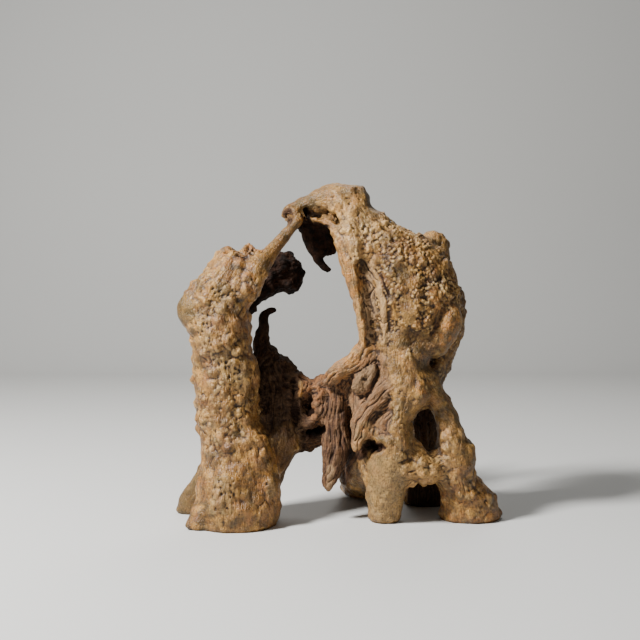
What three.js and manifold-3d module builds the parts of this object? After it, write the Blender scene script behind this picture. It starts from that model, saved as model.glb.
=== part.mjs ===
// A root sculpture: the dug-up, cleaned root of a tree, standing as a gnarled arch on its own feet.
// A knobbly pillar on the left and a broad burl trunk on the right meet in a crown at the top. A low cross
// root joins them again below, and broken shards hang from it. The root is one grown piece, parted here at
// its main forks, with a hairline gap at each fork. Millimetres, +Z up, seen from the front along +Y,
// with the origin on the ground at the middle of the root's width and depth.

import * as THREE from "three";
import { mergeVertices } from "three/addons/utils/BufferGeometryUtils.js";
import Module from "manifold-3d";

const wasm = await Module();
wasm.setup();

// Driving sizes
const OVERALL = 420; // longer than any side of the root, for the block that trims the soles
const FORK_GAP = 0.3; // between two neighbours at a fork
const CAP_RINGS = 2; // rings of facets on a limb's rounded tip
const WELD = 0.001; // vertices closer than this are one vertex
const KNOB_TURN = Math.PI * (3 - Math.sqrt(5)); // golden angle, which spreads knobs evenly round a limb

// Each limb is a list of stations along its middle line: [x, y, z, half width, half depth].
// Half width lies across the limb as seen from the front, and half depth runs front to back.
// A swell is a lump on the skin, or a dent where its height is negative: [x, y, z, reach, height].

const pillarLimb = {
  around: 18,
  along: 24,
  tip: 0.4,
  stations: [
    [-110, -45, 299, 26, 24],
    [-119, -46, 285, 30, 28],
    [-128, -48, 270, 33, 31],
    [-134, -50, 255, 35.5, 33],
    [-136, -51, 241, 36, 34],
    [-133, -52, 226, 35, 34],
    [-130.5, -53, 210, 33.5, 34],
    [-130.5, -53, 194, 34.5, 33],
    [-126.5, -53, 170, 36.5, 33],
    [-127, -53, 141, 35.5, 33],
    [-122, -53, 112, 37.5, 35],
    [-114, -53, 83, 43, 38],
    [-111, -55, 55, 48, 42],
    [-113, -57, 26, 49, 45],
    [-115, -59, -8, 48, 46],
  ],
  knobs: { count: 70, from: 0.06, to: 0.8, reach: 9, height: 4 },
  swells: [
    [-169, -50, 244, 19, 9],
    [-140, -91, 52, 12, 5],
    [-124, -99, 62, 12, 5],
    [-120, -101, 44, 12, 5],
    [-82, -87, 56, 12, 4],
    [-154, -80, 4, 14, 5],
    [-90, -80, 103, 10, 5],
  ],
};

const leftPeakLimb = {
  around: 7,
  along: 3,
  tip: 0.5,
  stations: [
    [-122, -47, 294, 14, 16],
    [-125, -47, 305, 9, 12],
    [-126, -46, 314, 5, 8],
  ],
};

const rightPeakLimb = {
  around: 7,
  along: 3,
  tip: 0.5,
  stations: [
    [-104, -46, 296, 16, 17],
    [-101, -46, 309, 11, 13],
    [-99, -45, 317, 6, 7],
  ],
};

const toeLimb = {
  around: 8,
  along: 3,
  tip: 0.5,
  stations: [
    [-132, -74, 34, 16, 16],
    [-148, -79, 17, 13, 13],
    [-158, -82, 3, 11, 11],
  ],
};

const heelLimb = {
  around: 9,
  along: 6,
  tip: 0.5,
  stations: [
    [-143, -25, 60, 17, 18],
    [-157, -16, 36, 15, 16],
    [-170, -10, 16, 16, 15],
    [-177, -8, -4, 16, 15],
  ],
};

const webLimb = {
  around: 10,
  along: 8,
  tip: 0.5,
  stations: [
    [-84, -9, 196, 12, 14],
    [-82, -11, 177, 22, 20],
    [-74, -13, 156, 31, 24],
    [-72, -17, 124, 32, 30],
    [-75, -23, 96, 33, 32],
    [-86, -31, 67, 32, 32],
    [-100, -37, 39, 30, 34],
  ],
};

const bridgeLimb = {
  around: 11,
  along: 11,
  tip: 0.5,
  stations: [
    [-87, -19, 125, 46, 22],
    [-60, -17, 123, 50, 26],
    [-42, -15, 120, 45, 24],
    [-25, -17, 124, 41, 22],
    [-7, -23, 135, 34, 20],
    [11, -31, 156, 22, 18],
    [23, -37, 173, 15, 17],
    [34, -40, 190, 14, 17],
    [46, -43, 203, 15, 18],
  ],
};

const bareRootLimb = {
  around: 8,
  along: 6,
  tip: 0.5,
  stations: [
    [43, -54, 209, 8, 10],
    [33, -57, 200, 10, 10],
    [19, -58, 187, 10.5, 10],
    [7, -57, 178, 10, 10],
    [-4, -55, 169, 9.5, 9.5],
    [-12, -52, 161, 7, 8],
  ],
};

const backingLimb = {
  around: 8,
  along: 4,
  tip: 0.5,
  stations: [
    [10, -26, 150, 18, 12],
    [16, -22, 120, 18, 12],
    [26, -20, 90, 20, 14],
    [34, -14, 64, 22, 18],
  ],
};

const spurLimb = {
  around: 6,
  along: 8,
  tip: 0.7,
  stations: [
    [-86, -7, 188, 13, 12],
    [-88, -3, 204, 11, 9],
    [-85, -1, 223, 7, 7],
    [-86, 1, 234, 6, 6],
    [-81, 3, 240, 4.5, 5],
    [-72, 4, 242, 4, 4.5],
  ],
};

const backKnobLimb = {
  around: 10,
  along: 8,
  tip: 0.5,
  stations: [
    [-111, -25, 240, 10, 13],
    [-100, -9, 253, 9.5, 13],
    [-89, 3, 266, 13, 15],
    [-78, 13, 277, 18, 18],
    [-64, 21, 286, 25.5, 23],
    [-54, 25, 290, 24.5, 21],
  ],
};

const linkLimb = {
  around: 7,
  along: 9,
  tip: 0.5,
  stations: [
    [-110, -59, 252, 14, 12],
    [-101, -63, 271, 17, 15],
    [-88, -55, 294, 13, 13],
    [-73, -45, 313, 9, 9],
    [-60, -39, 329, 7.5, 8],
    [-49, -38, 343, 7.5, 8],
    [-36, -36, 352, 7, 8],
  ],
};

const crownLimb = {
  around: 12,
  along: 8,
  tip: 0.4,
  stations: [
    [-57, -36, 353, 11, 11.5],
    [-49, -27, 359, 11, 12],
    [-37, -23, 364, 11, 13],
    [-26, -23, 368, 13, 16],
    [-13, -24, 371, 17, 22],
    [8, -26, 368, 23, 27],
    [24, -28, 356, 26, 30],
  ],
};

const crownTopLimb = {
  around: 12,
  along: 3,
  tip: 0.3,
  stations: [
    [12, -27, 350, 27, 27],
    [11, -27, 370, 27, 26],
    [11, -27, 383, 24, 22],
  ],
};

const hookLimb = {
  around: 7,
  along: 7,
  tip: 0.6,
  stations: [
    [-38, -13, 350, 10, 8],
    [-32, -7, 326, 8, 6],
    [-24, -3, 308, 6, 5],
    [-19, -1, 299, 5.5, 5],
    [-8, -1, 289, 4.5, 4],
  ],
};

const plateLimb = {
  around: 9,
  along: 4,
  tip: 0.5,
  stations: [
    [-18, -13, 356, 13, 9],
    [-11, -5, 333, 12, 7],
    [-9, -3, 309, 10, 5],
  ],
};

const trunkLimb = {
  around: 22,
  along: 18,
  tip: 0.5,
  stations: [
    [18, -29, 353, 25, 28],
    [30, -31, 337, 29, 32],
    [44, -33, 319, 37, 38],
    [60, -34, 301, 48, 42],
    [74, -35, 285, 56, 45],
    [81, -36, 265, 60, 46],
    [84, -37, 244, 59, 46],
    [83, -38, 223, 54, 43],
    [76, -41, 205, 44, 38],
    [73, -43, 191, 34, 34],
    [76, -46, 173, 30, 33],
    [79, -49, 150, 34, 34],
  ],
  knobs: { count: 90, from: 0.1, to: 0.75, reach: 9, height: 3.5 },
  swells: [
    [36, -69, 286, 13, -10],
    [39, -73, 266, 13, -8],
    [42, -74, 244, 13, -8],
    [45, -71, 222, 13, -7],
    [90, -83, 215, 16, -6],
  ],
};

const flankLimb = {
  around: 9,
  along: 5,
  tip: 0.6,
  stations: [
    [117, -49, 258, 14, 18],
    [128, -51, 232, 15, 20],
    [118, -53, 205, 10, 14],
  ],
};

const lobeLimb = {
  around: 9,
  along: 3,
  tip: 0.5,
  stations: [
    [14, -46, 338, 14, 22],
    [20, -50, 318, 16, 24],
    [24, -52, 300, 13, 22],
  ],
};

const shoulderLimb = {
  around: 10,
  along: 4,
  tip: 1,
  stations: [
    [102, -15, 272, 26, 26],
    [112, -7, 298, 23, 24],
    [116, -1, 318, 19, 20],
  ],
};

const backLegLimb = {
  around: 10,
  along: 9,
  tip: 0.5,
  stations: [
    [131, -1, 262, 21, 26],
    [138, 1, 234, 18, 26],
    [131, 1, 203, 17, 26],
    [117, -1, 169, 16, 25],
    [108, -1, 134, 16, 25],
    [108, 10, 100, 21, 26],
    [112, 24, 64, 25, 26],
    [113, 34, 28, 27, 25],
    [113, 38, -8, 28, 25],
  ],
};

const frontLegLimb = {
  around: 12,
  along: 9,
  tip: 0.5,
  stations: [
    [76, -50, 150, 31, 32],
    [63, -55, 119, 21, 29],
    [64, -57, 99, 27, 30],
    [61, -56, 70, 27, 28],
    [57.5, -53, 38, 22.5, 23],
    [56.5, -49, 17, 19.5, 19],
    [55.5, -47, -6, 17.5, 17],
  ],
  swells: [
    [64, -84, 86, 11, 4],
    [76, -82, 68, 10, 4],
    [94, -76, 156, 10, 5],
  ],
};

const spikeLimb = {
  around: 6,
  along: 3,
  tip: 0.5,
  stations: [
    [76, -56, 56, 9, 9],
    [81, -56, 44, 4, 4],
    [83, -56, 36, 1.6, 2],
  ],
};

const lumpBandLimb = {
  around: 9,
  along: 6,
  tip: 0.5,
  stations: [
    [62, -57, 86, 28, 26],
    [84, -60, 71, 25, 23],
    [104, -58, 63, 18.5, 21],
    [124, -50, 64, 18, 21],
  ],
  swells: [
    [93, -84, 69, 9, 5],
    [111, -78, 62, 9, 4],
  ],
};

const rightLegLimb = {
  around: 11,
  along: 10,
  tip: 0.5,
  stations: [
    [98, -45, 162, 20, 26],
    [119, -45, 138, 13.5, 20],
    [127.5, -46, 120, 12.5, 20],
    [132, -47, 99, 16, 23],
    [137, -48, 76, 22, 26],
    [139, -47, 58, 22.5, 26],
    [144, -44, 40, 24, 26],
    [152, -40, 19, 33, 27],
    [156, -37, 2, 36.5, 28],
    [157, -37, -12, 37, 28],
  ],
};

const midRootLimb = {
  around: 10,
  along: 7,
  tip: 0.5,
  stations: [
    [62, -45, 100, 30, 30],
    [47, -30, 74, 32, 30],
    [37, 0, 52, 30, 28],
    [34, 46, 33, 28, 25],
    [35, 89.5, 10, 26, 22],
  ],
};

const longShardLimb = {
  around: 9,
  along: 8,
  tip: 0.5,
  stations: [
    [-1, -39, 152, 13, 13],
    [-1, -45, 113, 14, 12],
    [-0.5, -49, 86, 16, 12],
    [-4, -51, 66, 13, 11],
    [-7.5, -51, 50, 9.5, 9],
    [-9, -51, 38, 5, 6],
  ],
};

const flareLimb = {
  around: 9,
  along: 5,
  tip: 0.5,
  stations: [
    [66, -43, 196, 26, 26],
    [49, -45, 168, 27, 24],
    [40, -49, 142, 24, 20],
    [36, -51, 118, 17, 14],
  ],
};

const curlShardLimb = {
  around: 10,
  along: 8,
  tip: 0.5,
  stations: [
    [78, -54, 158, 14, 18],
    [61, -62, 151, 19, 17],
    [44, -66, 138, 19, 14],
    [31, -67, 120, 15, 12],
    [25, -67, 101, 10, 9],
    [22.5, -67, 84, 4, 4],
  ],
};

const ledgeLimb = {
  around: 7,
  along: 3,
  tip: 0.5,
  stations: [
    [66, -55, 124, 16, 16],
    [49, -61, 112, 12, 10],
    [38, -63, 104, 7, 6],
  ],
};

const knotPlateLimb = {
  around: 8,
  along: 4,
  tip: 0.5,
  stations: [
    [47, -58, 188, 6, 8],
    [39, -64, 177, 12, 9],
    [29, -66, 164, 13, 9],
    [18, -63, 152, 6, 6],
  ],
};

const strandLimb = {
  around: 7,
  along: 12,
  tip: 0.5,
  stations: [
    [-34, -33, 350, 4, 6],
    [-18, -39, 348, 4.5, 8],
    [-5, -43, 341, 6, 10],
    [4, -47, 330, 8.5, 13],
    [10, -52, 314, 10, 14],
    [16, -57, 296, 10, 15],
    [20, -60, 276, 8.5, 14],
    [25.5, -62, 256, 6.5, 13],
    [29.5, -63, 234, 6, 13],
    [33.5, -58, 208, 6.5, 14],
  ],
};

// The middle line and the half sizes of a limb as smooth curves over the same parameter.
function curvesOf({ stations }) {
  return {
    line: new THREE.CatmullRomCurve3(stations.map(([x, y, z]) => new THREE.Vector3(x, y, z))),
    halves: new THREE.CatmullRomCurve3(stations.map(([, , , w, d]) => new THREE.Vector3(w, d, 0))),
  };
}

// Bends a capsule along the limb's middle line. Its round ends become the limb's rounded tips.
function limbGeometry(limb, grow) {
  const { line, halves } = curvesOf(limb);
  const geometry = new THREE.CapsuleGeometry(1, 2, CAP_RINGS, limb.around, limb.along);
  const position = geometry.getAttribute("position");
  const swells = [...knobsOn(limb, line, halves), ...(limb.swells ?? [])];
  for (let i = 0; i < position.count; i++) {
    const height = position.getY(i);
    const along = THREE.MathUtils.clamp(height, -1, 1);
    const share = (along + 1) / 2;
    const skin = surfacePoint(line, halves, share, position.getX(i), position.getZ(i));
    const t = line.getUtoTmapping(share);
    const tip = Math.min(halves.getPoint(t).x, halves.getPoint(t).y) * limb.tip;
    skin.addScaledVector(line.getTangent(t), (height - along) * tip);
    const outward = skin.clone().sub(line.getPoint(t)).normalize();
    skin.addScaledVector(outward, liftAt(skin, swells) + grow);
    position.setXYZ(i, skin.x, skin.y, skin.z);
  }
  return geometry;
}

// A point of the limb's skin: the station at this share of the length, plus the section's two half axes.
function surfacePoint(line, halves, share, across, deep) {
  const t = line.getUtoTmapping(share);
  const size = halves.getPoint(t);
  const tangent = line.getTangent(t);
  const side = new THREE.Vector3(0, 1, 0).cross(tangent).normalize();
  const depth = side.clone().cross(tangent);
  return line
    .getPoint(t)
    .addScaledVector(side, across * size.x)
    .addScaledVector(depth, deep * size.y);
}

// Burl knobs spread over the skin between two shares of the limb's length, as swells.
function knobsOn({ knobs }, line, halves) {
  if (!knobs) return [];
  return Array.from({ length: knobs.count }, (_, i) => {
    const share = THREE.MathUtils.lerp(knobs.from, knobs.to, (i + 0.5) / knobs.count);
    const at = surfacePoint(line, halves, share, Math.cos(i * KNOB_TURN), Math.sin(i * KNOB_TURN));
    return [at.x, at.y, at.z, knobs.reach, knobs.height];
  });
}

// How far the skin stands out at a point: the sum of the swells' bell curves.
function liftAt(point, swells) {
  return swells.reduce((lift, [x, y, z, reach, height]) => {
    const off = point.distanceToSquared(new THREE.Vector3(x, y, z));
    return lift + height * Math.exp(-off / reach ** 2);
  }, 0);
}

// Booleans work on closed meshes whose vertices are shared.
function solidOf(geometry) {
  geometry.deleteAttribute("normal");
  geometry.deleteAttribute("uv");
  const merged = mergeVertices(geometry, WELD);
  return new wasm.Manifold(
    new wasm.Mesh({
      numProp: 3,
      vertProperties: new Float32Array(merged.getAttribute("position").array),
      triVerts: new Uint32Array(merged.index.array),
    }),
  );
}

function geometryOf(solid) {
  const { vertProperties, triVerts } = solid.getMesh();
  const geometry = new THREE.BufferGeometry();
  geometry.setAttribute("position", new THREE.BufferAttribute(vertProperties, 3));
  geometry.setIndex(new THREE.BufferAttribute(triVerts, 1));
  geometry.computeVertexNormals();
  return geometry;
}

// Several limbs as one solid, sawn flat at the level of the ground.
function fuse(limbs, grow = 0) {
  const block = new THREE.BoxGeometry(OVERALL, OVERALL, OVERALL);
  block.translate(0, 0, -OVERALL / 2 + grow);
  return limbs
    .map((limb) => solidOf(limbGeometry(limb, grow)))
    .reduce((whole, next) => whole.add(next))
    .subtract(solidOf(block));
}

function largest(solid) {
  return solid.decompose().sort((a, b) => b.volume() - a.volume())[0];
}

const burlSkin = { color: 0xa98455, roughness: 0.62, metalness: 0 };
const bareWood = { color: 0x8a6644, roughness: 0.8, metalness: 0 };
const darkWood = { color: 0x4a3323, roughness: 0.85, metalness: 0 };

// The forks, in the order they are parted: each piece gives way to the ones above it in the list.
const pieces = [
  { name: "edge_strand", limbs: [strandLimb], finish: burlSkin },
  { name: "right_trunk", limbs: [trunkLimb, flankLimb, lobeLimb], finish: burlSkin },
  { name: "left_pillar", limbs: [pillarLimb, leftPeakLimb, rightPeakLimb, toeLimb], finish: burlSkin },
  { name: "crown", limbs: [crownLimb, crownTopLimb], finish: burlSkin },
  { name: "front_leg", limbs: [frontLegLimb, spikeLimb], finish: burlSkin },
  { name: "right_leg", limbs: [rightLegLimb], finish: burlSkin },
  { name: "lump_band", limbs: [lumpBandLimb], finish: burlSkin },
  { name: "link_branch", limbs: [linkLimb], finish: burlSkin },
  { name: "left_heel", limbs: [heelLimb], finish: burlSkin },
  { name: "shoulder_stub", limbs: [shoulderLimb], finish: burlSkin },
  { name: "back_leg", limbs: [backLegLimb], finish: burlSkin },
  { name: "cross_root", limbs: [webLimb, bridgeLimb, bareRootLimb, backingLimb], finish: bareWood },
  { name: "mid_root", limbs: [midRootLimb], finish: bareWood },
  { name: "long_shard", limbs: [longShardLimb], finish: bareWood },
  { name: "curled_shard", limbs: [flareLimb, curlShardLimb, ledgeLimb, knotPlateLimb], finish: bareWood },
  { name: "spur", limbs: [spurLimb], finish: darkWood },
  { name: "back_knob", limbs: [backKnobLimb], finish: darkWood },
  { name: "hanging_hook", limbs: [hookLimb], finish: darkWood },
  { name: "hanging_plate", limbs: [plateLimb], finish: darkWood },
];

const root = new THREE.Group();
let taken = [];
for (const { name, limbs, finish } of pieces) {
  const clear = taken.reduce((solid, other) => solid.subtract(other), fuse(limbs));
  const mesh = new THREE.Mesh(geometryOf(largest(clear)), new THREE.MeshStandardMaterial(finish));
  mesh.name = name;
  root.add(mesh);
  taken = [...taken, fuse(limbs, FORK_GAP)];
}

export default root;
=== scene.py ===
"""Root sculpture: the dug-up and cleaned root of a tree, standing as a gnarled arch on its own feet.

Each limb is an ellipse carried along a middle line. The limbs are joined into one closed shell, swells are
pressed into it, and the creases at the forks are filled. Then welts and furrows are cut along their paths,
and the relief (knobs, beads, pits, grain) is worked out at every vertex, from cell noise and from the grain
of the nearest limb. Last, the shell is parted at the forks. Lengths are millimetres, until a mesh is made
in metres.
"""

import logging
import math
from collections.abc import Iterator
from dataclasses import astuple, dataclass, field, fields
from enum import Enum, IntEnum
from typing import ClassVar

import bmesh
import bpy
import numpy as np
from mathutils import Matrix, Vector


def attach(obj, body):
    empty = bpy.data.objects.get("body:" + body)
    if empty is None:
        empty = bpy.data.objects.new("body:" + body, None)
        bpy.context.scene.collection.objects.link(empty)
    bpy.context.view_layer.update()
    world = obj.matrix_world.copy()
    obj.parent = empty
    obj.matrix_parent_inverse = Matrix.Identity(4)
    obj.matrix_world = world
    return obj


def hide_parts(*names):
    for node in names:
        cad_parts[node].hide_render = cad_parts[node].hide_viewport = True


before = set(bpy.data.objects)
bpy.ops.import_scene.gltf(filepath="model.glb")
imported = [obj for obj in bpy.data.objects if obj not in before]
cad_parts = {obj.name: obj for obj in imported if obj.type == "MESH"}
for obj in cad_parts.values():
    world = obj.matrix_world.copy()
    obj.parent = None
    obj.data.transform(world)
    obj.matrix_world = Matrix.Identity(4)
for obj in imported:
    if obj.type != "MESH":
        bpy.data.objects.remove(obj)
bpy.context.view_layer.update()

log = logging.getLogger("root_sculpture")
Array = np.ndarray
Point = tuple[float, float, float]
MM = 0.001
NOISE_GAIN = 1.7  # brings the noise to about -1 to 1
BACKWARD = np.array([0.0, 1.0, 0.0])
TINTS = ("bare", "dark", "cream", "olive", "warm")  # the numbers of a skin that the finishes read


class Slot(Enum):
    """The finishes of the root, by their names in the record."""

    BURL_SKIN = "burl_skin"
    BARE_WOOD = "bare_wood"
    DARK_WOOD = "dark_wood"


class Seed(IntEnum):
    """The noise pattern of each kind of relief. Patterns along the grain add the limb's number to it."""

    WANDER = 1
    WAVE = 4
    FOLD = 5
    FINE_FOLD = 6
    LUMP = 11
    KNOB = 12
    BEAD = 13
    BEAD_CROWD = 14
    CRAG = 15
    PIT = 16
    WAVER = 31
    FINE_WAVER = 33
    NET_CROWD = 35
    VIGOUR = 36
    DEEP_GROOVE = 40
    PATCH_EDGE = 71
    THIN_GROOVE = 80
    LEDGE = 120
    FINE_GRAIN = 160
    FLUTE = 200
    NET = 240


@dataclass(frozen=True)
class Skin:
    """Relief and finish of a stretch of root. Heights and depths are millimetres, the rest are shares."""

    wave: float = 1.2  # broad swelling, about 38 mm from crest to crest
    lump: float = 0.8  # rounded lumps, about 13 mm apart
    flute: float = 0.8  # soft ridges along the grain, about 13 mm apart
    knob: float = 0.0  # low burl knobs, about 5 mm apart
    net: float = 0.0  # long pits: 1 where they crowd, 2 all over
    bead: float = 0.0  # round burl beads, about 4 mm apart
    wrinkle: float = 0.3  # rounded folds with sharp creases, about 3 and 6 mm apart
    crag: float = 0.0  # eroded hollows and crests, about 13 mm apart
    groove: float = 0.2  # grooves along the grain
    pit: float = 0.0  # small round holes
    bare: float = 0.0  # weathered bare wood, against skin
    dark: float = 0.0  # dark rotted wood, and painted shade in some holes, slits and shaded sides
    cream: float = 0.0  # pale young skin
    olive: float = 0.0  # greyish olive, where the skin is smooth
    warm: float = 0.25  # orange tinge


SMOOTH = Skin(wave=1.6, lump=1.5, flute=1.3, wrinkle=0.35, groove=0.4, pit=0.2, olive=0.5, warm=0.25)
OLIVE = Skin(wave=1.0, lump=0.6, flute=0.4, wrinkle=0.2, groove=0.15, dark=0.24, olive=0.8, warm=0.1)
DENT = Skin(wave=1.0, lump=0.8, bead=0.25, flute=0.3, wrinkle=0.2, dark=0.2, olive=0.35, warm=0.2)
SHADED = Skin(wave=2.4, lump=2.2, flute=0.9, bead=1.0, net=0.6, wrinkle=0.4, dark=0.4, warm=0.3)
KNOBBLY = Skin(wave=2.4, lump=2.6, flute=0.9, knob=0.6, net=0.75, bead=0.1, wrinkle=0.5, warm=0.35)
PITTED = Skin(wave=2.4, lump=2.2, flute=0.6, knob=0.6, net=1.5, wrinkle=0.45, pit=0.3, olive=0.4, warm=0.1)
FIBROUS = Skin(wave=2.6, lump=2.0, flute=1.2, wrinkle=0.12, groove=0.3, warm=0.4)
PITTED_PAD = Skin(lump=2.0, flute=1.0, knob=0.2, net=1.7, wrinkle=0.25, dark=0.1, olive=0.5)
BEADED = Skin(wave=1.8, lump=2.4, flute=0.6, knob=0.3, bead=1.55, wrinkle=0.2, dark=0.16, warm=0.3)
WRINKLED = Skin(wave=1.0, lump=1.8, knob=0.7, net=0.9, bead=0.3, wrinkle=0.9, groove=0.6, cream=0.5, warm=0.4)
LUMPY = Skin(wave=1.6, lump=3.2, flute=0.8, knob=0.3, net=0.6, wrinkle=0.5, pit=0.5, cream=0.4, warm=0.4)
SLATTED = Skin(wave=0.6, lump=0.4, crag=1.0, groove=2.2, pit=1.0, bare=1.0, cream=0.45, warm=0.0)
LAYERED = Skin(wave=1.6, lump=0.6, flute=1.6, wrinkle=0.2, groove=1.9, bare=1.0, cream=0.15, warm=0.3)
SPLINTERED = Skin(wave=1.4, flute=1.8, crag=0.5, wrinkle=0.3, groove=1.6, bare=1.0, dark=0.28, warm=0.15)
CRUMBLY = Skin(wave=2.4, lump=1.6, flute=1.2, crag=2.2, wrinkle=0.7, groove=1.2, bare=1.0, dark=0.1, warm=0.5)
SPONGY = Skin(wave=2.4, lump=1.6, flute=2.0, crag=1.6, wrinkle=0.5, groove=1.2, bare=0.9, dark=0.72, warm=0.0)
# Dark rotted wood; patches also lay these two skins in holes and slits as painted shade.
ROT_AND_SHADE = Skin(wave=2.0, lump=3.2, flute=2.0, crag=1.4, wrinkle=0.5, groove=0.8, bare=0.8, dark=1.0, warm=0.0)
THIN_ROT_AND_SHADE = Skin(wave=0.6, lump=0.4, flute=0.6, crag=0.6, groove=0.7, bare=0.8, dark=1.0, warm=0.0)
SAWN_LEG = Skin(wave=1.4, lump=1.2, flute=1.0, wrinkle=0.25, groove=0.3, cream=0.5, olive=0.5, warm=0.1)
LINK = Skin(wave=0.6, lump=0.5, flute=0.6, wrinkle=0.15, groove=0.4, dark=0.28, olive=0.4, warm=0.3)
ORANGE_EDGE = Skin(wave=1.2, lump=1.2, flute=1.4, wrinkle=0.4, groove=0.9, bare=0.15, cream=0.25, warm=1.0)


def stepped(value: Array, low: float, high: float) -> Array:
    """A smooth step: 0 up to low, 1 from high on, and 3t^2 - 2t^3 between.

    Args:
        value: The numbers to step.
        low: Where the step starts.
        high: Where it ends.

    Returns:
        The stepped numbers, from 0 to 1.
    """
    t = np.clip((value - low) / (high - low), 0.0, 1.0)
    return t * t * (3.0 - 2.0 * t)


def unit(vectors: Array) -> Array:
    """Each row divided by its own length."""
    return vectors / np.maximum(np.linalg.norm(vectors, axis=-1, keepdims=True), 1e-9)


def scrambled(lattice: Array, seed: int) -> Array:
    """Random bits for lattice cells: the three numbers are multiplied by odd factors, mixed and shifted.

    Args:
        lattice: Whole numbers, three to a row.
        seed: A number that gives another pattern.

    Returns:
        One 32-bit number to a row.
    """
    x, y, z = (lattice[:, k].astype(np.int32).view(np.uint32) for k in range(3))
    bits = x * np.uint32(0x8DA6B343) ^ y * np.uint32(0xD8163841) ^ z * np.uint32(0xCB1AB31F)
    bits ^= np.uint32((seed * 0x165667B1) & 0xFFFFFFFF)
    bits = (bits ^ bits >> np.uint32(15)) * np.uint32(0x2C1B3C6D)
    bits = (bits ^ bits >> np.uint32(12)) * np.uint32(0x297A2D39)
    return bits ^ bits >> np.uint32(15)


def three_shares(bits: Array) -> Array:
    """Three numbers from 0 to 1 for each 32-bit number, ten bits to each."""
    parts = [(bits >> np.uint32(shift)) & np.uint32(1023) for shift in (0, 10, 20)]
    return np.stack(parts, axis=1).astype(np.float32) / 1023.0


def noise(points: Array, seed: int) -> Array:
    """Gradient noise: at each of a cell's eight corners, a random slope times the offset from it, blended.

    Args:
        points: Places in units of the noise's cell, three numbers to a row.
        seed: A number that gives another pattern.

    Returns:
        Smooth noise, mostly from -1 to 1.
    """
    base = np.floor(points)
    part = (points - base).astype(np.float32)
    ease = part * part * (3.0 - 2.0 * part)
    total = np.zeros(len(points), np.float32)
    for corner in np.ndindex(2, 2, 2):
        step = np.array(corner, np.float32)
        slope = three_shares(scrambled(base + step, seed)) * 2.0 - 1.0
        weight = np.prod(np.where(step == 1.0, ease, 1.0 - ease), axis=1)
        total += weight * np.sum(slope * (part - step), axis=1)
    return total * NOISE_GAIN


def layered_noise(points: Array, seed: int, layers: int = 3) -> Array:
    """Noise plus half as much at twice the fineness, and so on."""
    return sum(noise(points * 2.0**k, seed + k) * 0.5**k for k in range(layers))


def noise_columns(points: Array, seed: int, count: int) -> Array:
    """Noise in some columns, each with a seed one higher than the last."""
    return np.stack([noise(points, seed + k) for k in range(count)], axis=1)


def cells(points: Array, seed: int) -> tuple[Array, Array]:
    """Cell noise: every cell of a lattice holds one seed point at a random place.

    Args:
        points: Places in units of the lattice, three numbers to a row.
        seed: A number that gives another pattern.

    Returns:
        The distance to the nearest seed point, and a random share that belongs to it.
    """
    base = np.floor(points)
    part = (points - base).astype(np.float32)
    nearest = np.full(len(points), np.inf, np.float32)
    share = np.zeros(len(points), np.float32)
    for step in np.ndindex(3, 3, 3):
        corner = np.array(step, np.float32) - 1
        bits = scrambled(base + corner, seed)
        off = three_shares(bits) + (corner - part)
        gap = np.sqrt((off**2).sum(axis=1))
        closer = gap < nearest
        nearest[closer] = gap[closer]
        share[closer] = (bits[closer] >> np.uint32(5) & np.uint32(255)) / 255.0
    return nearest, share


def nearest_sample(points: Array, samples: Array) -> Array:
    """Finds the nearest sample for each point.

    Args:
        points: Places, three numbers to a row.
        samples: The samples, in the same form.

    Returns:
        The samples' numbers.
    """
    here = points.astype(np.float32)
    best = np.full(len(here), np.inf, np.float32)
    at = np.zeros(len(here), int)
    for k, sample in enumerate(samples.astype(np.float32)):
        away = ((here - sample) ** 2).sum(axis=1)
        closer = away < best
        best[closer] = away[closer]
        at[closer] = k
    return at


def add_object(name: str, data: bpy.types.ID) -> bpy.types.Object:
    """Makes an object from a mesh, lamp or camera and links it to the scene.

    Args:
        name: The object's name.
        data: What it holds.

    Returns:
        The object.
    """
    made = bpy.data.objects.new(name, data)
    bpy.context.scene.collection.objects.link(made)
    return made


@dataclass(frozen=True)
class Line:
    """A limb's middle line as samples: points, half sizes, and the axes of each cross-section."""

    points: Array
    halves: Array
    tangent: Array
    side: Array
    depth: Array
    reach: Array


@dataclass(frozen=True)
class Nearness:
    """How some vertices lie to one limb."""

    rows: Array  # the vertices, as row numbers
    gap: Array  # how far each stands off the limb's ellipse
    grain: Array  # offsets along side and depth, and the length along the line
    share: Array  # place along the limb, from 0 to 1


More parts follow.
